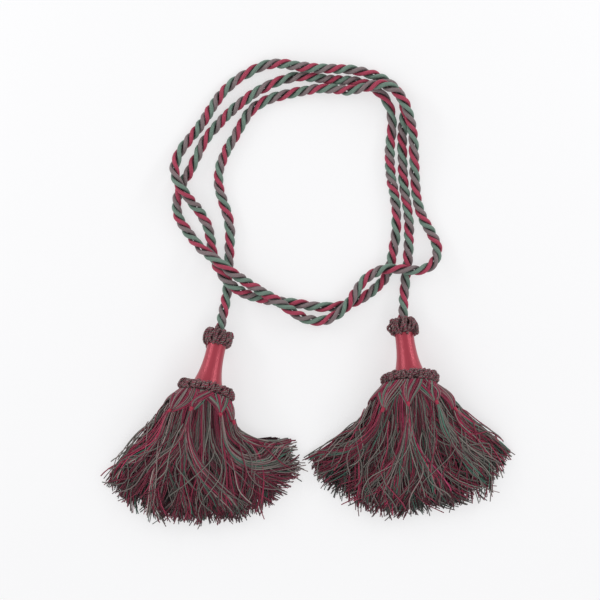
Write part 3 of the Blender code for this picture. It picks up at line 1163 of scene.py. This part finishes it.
@dataclass(frozen=True)
class Ruff:
    """A collar of looped, twisted gimp, laid with the help of a source of chance."""

    form: Form
    kind: RuffKind
    rng: np.random.Generator

    def _coil(self) -> tuple[Points, Points]:
        """The gimp's middle and the way outward from the coil, on the head's axes."""
        sizes = RUFF_SIZES[self.kind]
        share = np.linspace(0.0, 1.0, sizes.points)
        skew = Wander(self.rng, 5, sizes.loops * 0.7, 0.0)
        swell = 1 + 0.16 * sizes.uneven * skew(share, 0.0)
        drift = 0.5 * sizes.uneven / sizes.loops * Wander(self.rng, 5, 19.0, 0.0)(share, 0.0)
        about = tau * share + drift
        coil = tau * sizes.loops * share
        coil = coil + 0.8 * sizes.uneven * Wander(self.rng, 4, 23.0, 0.0)(share, 0.0)
        radius = sizes.ring + sizes.wide * swell * np.cos(coil)
        height = sizes.tall * swell * np.sin(coil)
        lean = 1.6 / sizes.loops * np.sin(coil)
        turn = about + lean
        middle = np.stack([radius * np.cos(turn), radius * np.sin(turn), height], axis=-1)
        knots = 2.6 * sizes.loops
        for axis in range(3):
            middle[:, axis] += sizes.knot * Wander(self.rng, 5, knots, 0.0)(share, 0.0)
        flat = np.stack([np.cos(about), np.sin(about), np.zeros_like(about)], axis=-1)
        outward = flat * np.cos(coil)[:, None]
        outward[:, 2] += np.sin(coil)
        return middle, outward

    def build(self, material: bpy.types.Material) -> bpy.types.Object:
        """Wind the gimp and set it on its ring."""
        sizes, form = RUFF_SIZES[self.kind], self.form
        middle, outward = self._coil()
        face, side = square_to(middle, outward)
        reach = reach_along(middle)
        if self.kind is RuffKind.TOP:
            turn = form.mould_turn
            middle = middle + np.array([0.0, 0.0, form.length])
        else:
            turn = form.ruff_turn
        strands = Strands(5)
        for number, dye in enumerate(GIMP_DYES):
            around = tau * (reach / sizes.pitch + number / len(GIMP_DYES))
            out = np.cos(around)[:, None] * face + np.sin(around)[:, None] * side
            path = form.head(turn, middle + out * sizes.helix)
            path[:, 2] = np.maximum(path[:, 2], SKIRT.lowest)
            lump = Wander(self.rng, 4, 6.0 * sizes.loops, 0.0)(np.linspace(0, 1, len(path)), 0.0)
            radii = sizes.strand * (1 + 0.22 * lump)[None]
            world_out = out @ np.array(form.axes(turn)).T
            strands.add(path[None], radii, np.array([dye.value]), world_out[None])
        ruff = strands.build(f"{form.name}_{self.kind.name.lower()}_gimp")
        finish_piece(ruff, material, [f"{form.name}_{self.kind.value}"])
        return ruff


# ------------------------------------------------------------------ net and ties


@dataclass(frozen=True)
class TiePlace:
    """Where a tie sits: its turn round the tassel (degrees) and its way down the skirt."""

    turn: float
    way: float


@dataclass(frozen=True)
class NetSizes:
    """Sizes of the net.

    Attributes:
        lift: Height of the net's yarns over the skirt.
        arch: Height added in a ribbon's middle.
        ribbon: Yarns in one ribbon.
        spread: Half the width of a ribbon at the ruff.
        gathered: Half its width at the tie.
        lean: How far round its start lies from the tie, as a share of the gap.
        yarn: Radius of a yarn.
        points: Points along a yarn.
    """

    lift: float = 0.5 * MM
    arch: float = 1.2 * MM
    ribbon: int = 13
    spread: float = 4.6 * MM
    gathered: float = 1.2 * MM
    lean: float = 0.62
    yarn: float = 0.42 * MM
    points: int = 12


NET_PATTERN = (
    Dye.BURGUNDY, Dye.WINE, Dye.GREY_GREEN, Dye.GREY_GREEN, Dye.BRIGHT_TEAL, Dye.BURGUNDY,
    Dye.WINE, Dye.BRIGHT_CRIMSON, Dye.BURGUNDY, Dye.WARM_GREY, Dye.GREY_GREEN, Dye.WINE,
    Dye.BURGUNDY,
)  # fmt: skip


@dataclass(frozen=True)
class Net:
    """The overlay of yarn ribbons gathered at the ties.

    Attributes:
        form: The tassel's form.
        points: All the gathered points, in order round the tassel.
        rng: Source of chance.
        sizes: The net's sizes.
    """

    form: Form
    points: Sequence[TiePlace]
    rng: np.random.Generator
    sizes: NetSizes = NetSizes()

    def _ribbon(self, start: float, end: float, way: float, lift: float, width: float) -> Points:
        """Paths of one ribbon's yarns, from the ruff (start) to a tie (end), turns in radians."""
        sizes = self.sizes
        step = np.linspace(0.0, 1.0, sizes.points)[None]
        lane = np.linspace(-1.0, 1.0, sizes.ribbon)[:, None]
        lane = lane + self.rng.normal(0.0, 0.1, lane.shape)
        bow = 0.1 * self.rng.normal() + 0.12 * np.sign(end - start)
        turn = blend(start, end, step**1.25) + bow * np.sin(pi * step)
        breadth = blend(width, sizes.gathered, ease(0.3, 1.0, step))
        turn = turn + lane * breadth / SKIRT.head_radius
        down = blend(0.0, way + 0.015, step)
        arch = lift * (1 - step) + sizes.lift + sizes.arch * np.sin(pi * step) * (1 - 0.6 * lane**2)
        arch = arch + self.rng.normal(0.0, 0.12 * MM, lane.shape) + 0.4 * MM * (1 - lane**2) * step
        return self.form.surface(turn, down, arch)

    def build(self, material: bpy.types.Material) -> bpy.types.Object:
        """Lay every ribbon."""
        sizes = self.sizes
        strands = Strands(5)
        pattern = np.array([dye.value for dye in NET_PATTERN])
        for number, point in enumerate(self.points):
            here = radians(point.turn)
            for side in (-1, 0, 1):
                other = self.points[(number + (side or 1)) % len(self.points)]
                gap = abs((radians(other.turn) - here + pi) % tau - pi)
                start = here + side * gap * sizes.lean * self.rng.uniform(0.75, 1.2)
                lift = (0.6 + 0.5 * side) * MM
                width = sizes.spread * (1.0 if side else 0.8)
                paths = self._ribbon(start, here, point.way, lift, width)
                paths[..., 2] = np.maximum(paths[..., 2], SKIRT.lowest)
                shift = int(self.rng.integers(0, len(pattern)))
                lightness = np.exp(self.rng.normal(0, 0.1, (len(pattern), 1)))
                dyes = np.roll(pattern, shift, axis=0) * lightness
                radii = np.full(paths.shape[:2], sizes.yarn)
                strands.add(paths, radii, np.clip(dyes, 0, 1))
        net = strands.build(f"{self.form.name}_net_yarn")
        finish_piece(net, material, [f"{self.form.name}_net"])
        return net


@dataclass(frozen=True)
class TieSizes:
    """Sizes of a tie: a short barrel of wound thread.

    Attributes:
        length: Its length.
        radius: Its radius over the thread.
        groove: Depth between two wraps.
        wraps: Wraps of thread.
        sides: Corners of a ring.
        lift: Height of its axis over the skirt.
    """

    length: float = 3.6 * MM
    radius: float = 1.5 * MM
    groove: float = 0.16 * MM
    wraps: int = 6
    sides: int = 20
    lift: float = 2.1 * MM


@dataclass(frozen=True)
class Tie:
    """A short wrap of thread round a gathered point of the net."""

    form: Form
    number: int
    place: TiePlace
    sizes: TieSizes = TieSizes()

    def profile(self) -> list[tuple[float, float]]:
        """Rings of the barrel: a ridge for each wrap."""
        sizes = self.sizes
        steps = 2 * sizes.wraps
        rings = []
        for step in range(steps + 1):
            share = step / steps
            swell = 0.86 + 0.14 * sin(pi * share)
            ridge = sizes.groove if step % 2 == 0 else 0.0
            rings.append((sizes.radius * swell - ridge, sizes.length * share))
        return rings

    def build(self, material: bpy.types.Material) -> bpy.types.Object:
        """Turn the barrel and set it on its gathered point."""
        ways = self.place.way + np.array([0.0, 0.02])
        ends = self.form.surface(radians(self.place.turn), ways, self.sizes.lift)
        base = Vector(ends[0])
        axes = (Vector(ends[1]) - base).to_track_quat("Z", "Y").to_matrix()
        name = f"{self.form.name}_tie_wrap_{self.number}"
        wrap = turned(name, base, axes, self.profile(), self.sizes.sides)
        lay_round(wrap, base, axes, Dye.TIE.value)
        finish_piece(wrap, material, [f"{self.form.name}_tie_{self.number}"])
        return wrap


# ------------------------------------------------------------------ fringe


@dataclass(frozen=True)
class Lock:
    """Fringe yarns that lie together.

    Attributes:
        start: Share across the skirt where the lock starts.
        end: Share across where it ends.
        first: Way down the skirt where it starts.
        last: Way down where it ends.
        yarns: How many yarns it has.
        blend: Their dyes.
        lift: Height off the skirt's top surface.
        rise: Height added at its start, lost on the way.
        bow: Sideways bow in its middle, in shares.
        sway: Strength of its wandering, in shares.
        narrow: Half its width at its start.
        wide: Half its width at its end.
        deep: Half its thickness.
        level: Way from the skirt's underside to its top.
        tone: Lightness of the whole lock: its own random tone, times painted shade where it lies
            deep or under the skirt.
        curl: How much its yarns curl one by one.
        reach: Share across that its yarns can't pass.
    """

    start: float
    end: float
    first: float
    last: float
    yarns: int
    blend: Blend
    lift: float = 0.0
    rise: float = 0.0
    bow: float = 0.0
    sway: float = 0.05
    narrow: float = 1.8 * MM
    wide: float = 6.5 * MM
    deep: float = 0.9 * MM
    level: float = 1.0
    tone: float = 1.0
    curl: float = 1.0
    reach: float = 1.0


@dataclass(frozen=True)
class FringeSizes:
    """Sizes of the fringe.

    Attributes:
        yarn: Radius of a yarn.
        points: Points along an upper yarn.
        under_points: Points along a yarn of the underside.
        upper_locks: Locks of the upper half.
        under_locks: Locks of the underside.
        lock_yarns: Yarns in a lock.
        depth: Depth of the layers of locks.
        crimp: Height of a yarn's own waves.
        tip_splay: How far the tips spread.
        edge: Share across from which yarns crowd at the skirt's side.
        strays: Single yarns on top.
        outermost: Share across beyond which no lock ends; every third stray starts there.
        stray_reach: Share across that a stray can reach.
        head: Way down the skirt where its locks start.
        burgundy: Share of the upper locks that are mostly burgundy.
        grey: Share of them that are mostly grey.
    """

    yarn: float = 0.43 * MM
    points: int = 17
    under_points: int = 9
    upper_locks: int = 174
    under_locks: int = 60
    lock_yarns: int = 11
    depth: float = 7.0 * MM
    crimp: float = 0.55 * MM
    tip_splay: float = 2.2 * MM
    edge: float = 0.9
    strays: int = 64
    outermost: float = 0.96
    stray_reach: float = 1.06
    head: float = 0.02
    burgundy: float = 0.22
    grey: float = 0.16


@dataclass(frozen=True)
class CoreSizes:
    """Sizes of the core, a form under the skirt's own: a sheet dyed near black as painted shade
    between the locks, standing for the inner yarns.

    Attributes:
        lift: How far below the skirt's surface the core's lies.
        end: Way down the skirt where it ends.
        half: Share across that it reaches to.
        rows: Rings from its head to its end.
        columns: Corners across.
        ridge: Height of its ridges.
        floor: Lowest place of its underside.
        thin: Least thickness.
        raised: How far its underside lies over the skirt's.
    """

    lift: float = -3.6 * MM
    end: float = 0.86
    half: float = 0.88
    rows: int = 22
    columns: int = 60
    ridge: float = 0.5 * MM
    floor: float = 0.9 * MM
    thin: float = 0.4 * MM
    raised: float = 0.8 * MM


@dataclass(frozen=True)
class Fringe:
    """The cut fringe of one tassel, laid lock by lock.

    Attributes:
        form: The tassel's form.
        streams: The locks that leave the ties.
        rng: Source of chance.
        sizes: The fringe's sizes.
    """

    form: Form
    streams: Sequence[Lock]
    rng: np.random.Generator
    sizes: FringeSizes = FringeSizes()

    def _strayed(self, start: float, spread: float, reach: float) -> float:
        """A share across, strayed from a start but within a reach."""
        return float(np.clip(start + self.rng.normal(0, spread), -reach, reach))

    def _upper(self) -> list[Lock]:
        """The locks of the skirt's upper half, lowest first."""
        sizes = self.sizes
        locks = []
        for number in range(sizes.upper_locks):
            layer = (number + 0.5) / sizes.upper_locks
            start = 2 * ((number * GOLDEN) % 1.0) - 1
            chance = self.rng.uniform()
            plain = GREY_LOCK if chance < sizes.burgundy + sizes.grey else FRINGE_BLEND
            shortest, longest = (0.88, 0.985) if layer > 0.5 else (0.84, 0.95)
            locks.append(
                Lock(
                    start=start,
                    end=self._strayed(start, 0.22, sizes.outermost),
                    first=sizes.head,
                    last=self.rng.uniform(shortest, longest),
                    yarns=sizes.lock_yarns,
                    blend=BURGUNDY_LOCK if chance < sizes.burgundy else plain,
                    lift=-sizes.depth * (1 - layer) - 0.4 * MM,
                    bow=self.rng.normal(0, 0.1),
                    sway=0.15,
                    narrow=1.3 * MM,
                    wide=self.rng.uniform(2.2, 5.5) * MM,
                    deep=1.2 * MM,
                    # A random tone, times painted shade that darkens the deeper layers of locks.
                    tone=float(np.exp(self.rng.normal(-0.04, 0.22))) * (0.12 + 0.88 * layer**1.3),
                )
            )
        return locks

    def _under(self) -> list[Lock]:
        """The locks of the skirt's underside."""
        locks = []
        for number in range(self.sizes.under_locks):
            start = 2 * ((number * GOLDEN) % 1.0) - 1
            locks.append(
                Lock(
                    start=start,
                    end=start + self.rng.normal(0, 0.05),
                    first=self.sizes.head,
                    last=self.rng.uniform(0.86, 0.96),
                    yarns=self.sizes.lock_yarns,
                    blend=FRINGE_BLEND,
                    # Painted shade: the underside's locks are darkened, less so toward the skirt's
                    # sides.
                    tone=0.28 + 0.5 * abs(start) ** 6,
                    level=self.rng.uniform(0.0, 0.3),
                    wide=8.0 * MM,
                )
            )
        return locks

    def _strays(self) -> list[Lock]:
        """Single yarns that lie loose on top."""
        strays = []
        edge, reach = self.sizes.outermost, self.sizes.stray_reach
        for number in range(self.sizes.strays):
            start = self.rng.uniform(-1, 1) if number % 3 else self.rng.choice([-edge, edge])
            strays.append(
                Lock(
                    start=start,
                    end=self._strayed(start, 0.24, reach),
                    first=self.rng.uniform(0.15, 0.4),
                    last=self.rng.uniform(0.7, 0.98),
                    yarns=1,
                    blend=STRAY_BLEND,
                    lift=self.rng.uniform(0.2, 1.0) * MM,
                    sway=0.12,
                    curl=2.2,
                    reach=reach,
                )
            )
        return strays

    def comb(self, locks: Sequence[Lock], points: int) -> tuple[Points, np.ndarray, np.ndarray]:
        """Lay the yarns of some locks.

        Args:
            locks: The locks.
            points: Points along a yarn.

        Returns:
            Paths, radii, and colours: the dyes with painted shade.
        """
        sizes, rng = self.sizes, self.rng
        counts = [lock.yarns for lock in locks]
        total = sum(counts)

        def each(name: str) -> np.ndarray:
            """One of the locks' numbers for each yarn."""
            return np.repeat([getattr(lock, name) for lock in locks], counts)[:, None]

        step = np.linspace(0.0, 1.0, points)[None]
        first = each("first")
        last = each("last") + rng.normal(0.0, 0.022, (total, 1))
        way = blend(first, last, step)
        number = np.repeat(np.arange(len(locks)), counts)[:, None]
        own, deep = rng.uniform(-1, 1, (total, 1)), rng.uniform(-1, 1, (total, 1))
        share = blend(each("start"), each("end"), ease(0.0, 1.0, step))
        share = share + each("bow") * np.sin(pi * step)
        wander = Wander(rng, 5, 1.7, 1.6)(number * 0.619, way)
        share = share + each("sway") * ease(0.1, 0.8, way) * wander
        half = blend(SKIRT.head_radius, SKIRT.hem_half, way)
        aside = own * blend(each("narrow"), each("wide"), step**1.3)
        phase = rng.uniform(0, tau, (4, total, 1))
        waves = rng.uniform(0.5, 1.9, (2, total, 1))
        crimp = sizes.crimp * each("curl") * (0.25 + 1.1 * way)
        aside = aside + crimp * np.sin(tau * waves[0] * step + phase[0]) * 1.7
        aside = aside + crimp * np.sin(tau * 1.5 * waves[1] * step + phase[1]) * 0.5
        tip = ease(0.8, 1.05, step)
        aside = aside + tip * rng.normal(0.0, sizes.tip_splay, (total, 1))
        lift = each("lift") + each("rise") * (1 - ease(0.0, 0.3, way - first))
        lift = lift + deep * each("deep") + crimp * 0.7 * np.sin(tau * waves[1] * step + phase[2])
        lift = lift + tip * rng.normal(-0.5, 0.9, (total, 1)) * MM
        share = share + aside / half
        spill, slack = np.abs(share) - sizes.edge, each("reach") - sizes.edge
        held = np.sign(share) * (sizes.edge + slack * np.tanh(spill / slack))
        share = np.where(spill > 0, held, share)
        paths = self.form.inside(share, way, each("level"), lift)
        radii = np.full((total, points), sizes.yarn) * rng.uniform(0.85, 1.12, (total, 1))
        dyes = np.concatenate([lock.blend.pick(rng, lock.yarns) * lock.tone for lock in locks])
        # Painted shade: yarns lying lower in their lock are darker.
        dyes = dyes * (0.66 + 0.36 * deep)
        return paths, radii, np.clip(dyes, 0.0, 1.0)

    def _core(self, material: bpy.types.Material) -> bpy.types.Object:
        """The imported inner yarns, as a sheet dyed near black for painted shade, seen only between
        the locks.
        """
        sizes = CoreSizes()
        ways = np.linspace(0.0, sizes.end, sizes.rows)[:, None]
        leans = np.arcsin(np.linspace(-sizes.half, sizes.half, sizes.columns))[None]
        ridges = sizes.ridge * np.sin(np.arange(sizes.columns) * 2.1)[None] * (ways > 0)
        top = self.form.surface(leans, ways, sizes.lift + ridges)
        bottom = self.form.surface(pi - leans, ways, sizes.lift)
        bottom[..., 2] = np.maximum(bottom[..., 2] + sizes.raised, sizes.floor)
        top[..., 2] = np.maximum(top[..., 2], bottom[..., 2] + sizes.thin)
        ring = np.concatenate([top, bottom[:, ::-1]], axis=1)
        rows, columns = ring.shape[:2]
        number = np.arange(rows * columns).reshape(rows, columns)
        following = np.roll(number, -1, axis=1)
        walls = np.stack([number[:-1], number[1:], following[1:], following[:-1]], axis=-1)
        caps = np.stack([number[0], number[-1, ::-1]])
        mesh = mesh_of_faces("core", ring.reshape(-1, 3), (walls.reshape(-1, 4), caps))
        mesh.uv_layers.new(name="lay")
        # Painted shade: the core is dyed near black, as the shade deep between the locks.
        set_dye(mesh, np.tile(Dye.CORE.value, (len(mesh.vertices), 1)))
        core = link(f"{self.form.name}_fringe_shade_core", mesh)
        finish_piece(core, material, [f"{self.form.name}_skirt"])
        return core

    def _lay(
        self,
        part: str,
        sides: int,
        locks: Sequence[Lock],
        points: int,
        yarn: bpy.types.Material,
    ) -> None:
        """Make one piece of some locks, their yarns having so many sides and points."""
        strands = Strands(sides)
        strands.add(*self.comb(locks, points))
        piece = strands.build(f"{self.form.name}_fringe_{part}")
        finish_piece(piece, yarn, [f"{self.form.name}_skirt"])

    def build(self, yarn: bpy.types.Material, core: bpy.types.Material) -> None:
        """Lay the core, the underside, the upper half, and the streams and loose yarns."""
        self._core(core)
        sizes = self.sizes
        self._lay("lower", 3, self._under(), sizes.under_points, yarn)
        self._lay("upper", 3, self._upper(), sizes.points, yarn)
        self._lay("streams", 4, [*self.streams, *self._strays()], sizes.points, yarn)


# ------------------------------------------------------------------ tassels


@dataclass(frozen=True)
class Stream:
    """Yarns that run on from a tie.

    Attributes:
        tie: The tie's number.
        end: Share across the skirt where they end.
        last: Way down where they end.
        yarns: How many yarns.
        blend: Their dyes.
        bow: Sideways bow in their middle, in shares.
    """

    tie: int
    end: float
    last: float
    yarns: int
    blend: Blend
    bow: float = 0.0


@dataclass(frozen=True)
class TasselPlan:
    """What differs between the two tassels.

    Attributes:
        form: Its place and spread.
        ties: The ties that show.
        hidden: The gathered points of the net on its underside.
        streams: The yarns that run on from the ties.
        seed: Seed of its chance.
    """

    form: Form
    ties: tuple[TiePlace, ...]
    hidden: tuple[TiePlace, ...]
    streams: tuple[Stream, ...]
    seed: int


@dataclass(frozen=True)
class Tassel:
    """A tassel: bell, two ruffs, net, ties and fringe."""

    plan: TasselPlan

    def _streams(self) -> list[Lock]:
        """The locks that leave the ties."""
        locks = []
        for stream in self.plan.streams:
            tie = self.plan.ties[stream.tie - 1]
            locks.append(
                Lock(
                    start=sin(radians(tie.turn)),
                    end=stream.end,
                    first=tie.way + 0.02,
                    last=stream.last,
                    yarns=stream.yarns,
                    blend=stream.blend,
                    lift=0.2 * MM,
                    rise=2.0 * MM,
                    bow=stream.bow,
                    sway=0.03,
                    narrow=0.9 * MM,
                    wide=12.0 * MM,
                    deep=0.8 * MM,
                )
            )
        return locks

    def build(self, looks: dict[str, bpy.types.Material]) -> None:
        """Build every piece of the tassel.

        Args:
            looks: The finishes, by the record's slot, and "core".
        """
        plan = self.plan
        rng = np.random.default_rng(plan.seed)
        Mould(plan.form).build(looks["satin"])
        for kind in RuffKind:
            Ruff(plan.form, kind, rng).build(looks["ruff"])
        points = sorted(plan.ties + plan.hidden, key=lambda point: point.turn)
        Net(plan.form, points, rng).build(looks["net"])
        for number, tie in enumerate(plan.ties, start=1):
            Tie(plan.form, number, tie).build(looks["tie"])
        fringe = Fringe(plan.form, self._streams(), np.random.default_rng(plan.seed + 1))
        fringe.build(looks["fringe"], looks["core"])


# ------------------------------------------------------------------ studio


@dataclass(frozen=True)
class LampSizes:
    """A softbox.

    Attributes:
        name: Its name.
        place: Where it stands.
        size: Its length and its width.
        power: Its power in watts.
        along: Which way its length runs.
    """

    name: str
    place: tuple[float, float, float]
    size: tuple[float, float]
    power: float
    along: tuple[float, float, float] = (0.0, 1.0, 0.0)

    def rotation(self, target: Vector) -> Euler:
        """Turn that faces the lamp to a target, its length along its own way."""
        back = (Vector(self.place) - target).normalized()
        length = Vector(self.along) - back * back.dot(Vector(self.along))
        length.normalize()
        return Matrix((length, back.cross(length), back)).transposed().to_euler()


LAMPS = (
    LampSizes("left strip", (-0.78, 0.62, 0.43), (0.75, 0.17), 2.3, (0.19, 0.46, -0.38)),
    LampSizes("right strip", (0.78, 0.62, 0.43), (0.75, 0.17), 2.3, (-0.19, 0.46, -0.38)),
    LampSizes("front softbox", (0.0, -0.6, 1.5), (1.2, 1.2), 4.0),
)


@dataclass(frozen=True)
class Studio:
    """Camera, lights and floor.

    Attributes:
        target: The plan point that the camera looks down on.
        height: The camera's height.
        field: Width of what it sees at the piece's middle height.
        sensor: Width of its sensor, in millimetres.
        floor_size: Width of the pale surface.
        middle_height: The piece's middle height.
        world: Strength of the room's own light.
    """

    target: tuple[float, float] = (-7.3 * MM, 93.2 * MM)
    height: float = 1.7
    field: float = 462 * MM
    sensor: float = 36.0
    floor_size: float = 6.0
    middle_height: float = 6 * MM
    world: float = 0.66

    def camera(self) -> None:
        """Set the camera straight over the tieback."""
        lens = bpy.data.cameras.new("camera")
        lens.sensor_width = self.sensor
        lens.lens = self.sensor * (self.height - self.middle_height) / self.field
        lens.clip_start = 0.1
        lens.dof.use_dof = False
        camera = bpy.data.objects.new("camera", lens)
        camera.location = (*self.target, self.height)
        bpy.context.scene.collection.objects.link(camera)
        bpy.context.scene.camera = camera

    def floor(self, material: bpy.types.Material) -> None:
        """Lay the pale surface."""
        bpy.ops.mesh.primitive_grid_add(x_subdivisions=8, y_subdivisions=8, size=self.floor_size)
        floor = bpy.context.view_layer.objects.active
        floor.name = "pale_surface"
        floor.data.materials.append(material)
        floor.select_set(False)

    def lights(self) -> None:
        """Set the softboxes and the room's own light."""
        for sizes in LAMPS:
            lamp = bpy.data.lights.new(sizes.name, "AREA")
            lamp.shape = "RECTANGLE"
            lamp.size, lamp.size_y = sizes.size
            lamp.energy = sizes.power
            stand = bpy.data.objects.new(sizes.name, lamp)
            stand.location = sizes.place
            stand.rotation_euler = sizes.rotation(Vector((*self.target, 0.0)))
            bpy.context.scene.collection.objects.link(stand)
        world = bpy.data.worlds.new("room")
        world.use_nodes = True
        background = world.node_tree.nodes["Background"]
        background.inputs["Color"].default_value = (1.0, 1.0, 1.0, 1.0)
        background.inputs["Strength"].default_value = self.world
        bpy.context.scene.world = world
        bpy.context.scene.view_settings.view_transform = "Standard"
        bpy.context.scene.view_settings.look = "None"


# ------------------------------------------------------------------ the whole


def tie_places(*places: tuple[float, float]) -> tuple[TiePlace, ...]:
    """Ties from their turns (degrees) and ways."""
    return tuple(TiePlace(*place) for place in places)


HIDDEN_POINTS = tie_places((110, 0.2), (155, 0.19), (-160, 0.19), (-105, 0.2))


def plans() -> tuple[TasselPlan, ...]:
    """The two tassels."""
    left = TasselPlan(
        form=read_form("left", 12.5, 13.0, 0.0, (-80.5 * MM, 20.8 * MM), LEFT_RIBS),
        ties=tie_places((-51, 0.18), (-18.5, 0.12), (26.5, 0.14), (65, 0.21)),
        hidden=HIDDEN_POINTS,
        streams=(
            Stream(1, -0.97, 0.9, 34, FRINGE_BLEND),
            Stream(2, 0.22, 0.88, 34, GREY_LOCK, bow=-0.08),
            Stream(2, -0.66, 0.86, 22, FRINGE_BLEND),
            Stream(3, 0.99, 0.95, 46, GREY_LOCK, bow=-0.12),
            Stream(3, 0.3, 0.85, 22, FRINGE_BLEND),
            Stream(4, 1.02, 0.96, 34, FRINGE_BLEND),
        ),
        seed=11,
    )
    right = TasselPlan(
        form=read_form("right", -6.8, -3.0, -1.5 * MM, (77.1 * MM, 31.3 * MM), RIGHT_RIBS),
        ties=tie_places((-38.5, 0.21), (-2.5, 0.155), (40, 0.17), (63.5, 0.28)),
        hidden=HIDDEN_POINTS,
        streams=(
            Stream(1, -0.97, 0.94, 38, FRINGE_BLEND),
            Stream(2, -0.2, 0.85, 30, GREY_LOCK),
            Stream(2, 0.25, 0.85, 26, FRINGE_BLEND),
            Stream(3, 0.8, 0.92, 38, GREY_LOCK),
            Stream(4, 1.0, 0.95, 34, FRINGE_BLEND),
        ),
        seed=23,
    )
    return (left, right)


def finishes() -> dict[str, bpy.types.Material]:
    """The finishes by name: one for each slot of the record, and the fringe's core, whose
    near-black dye is painted shade.
    """
    return {
        "rope": PlyFinish().build(),
        "satin": SatinFinish().build(),
        "ruff": YarnFinish("gimp", twist=2.2 * MM, sheen=0.1, groove=0.5, relief=0.12 * MM).build(),
        "net": YarnFinish("net yarn", twist=2.4 * MM, sheen=0.16).build(),
        "tie": TIE_THREAD.build(),
        "fringe": YarnFinish("fringe yarn", twist=2.6 * MM, roughness=0.62).build(),
        "core": YarnFinish("inner yarn", roughness=0.85, sheen=0.1, groove=0.2).build(),
    }


def main() -> None:
    """Dress the frame, and set the camera and the light."""
    logging.basicConfig(level=logging.INFO, format="%(message)s")
    bpy.ops.object.select_all(action="DESELECT")
    studio = Studio()
    studio.camera()
    looks = finishes()
    Rope().build(looks["rope"])
    for plan in plans():
        Tassel(plan).build(looks)
    studio.floor(PaperFinish().build())
    studio.lights()


if __name__ == "__main__":
    main()
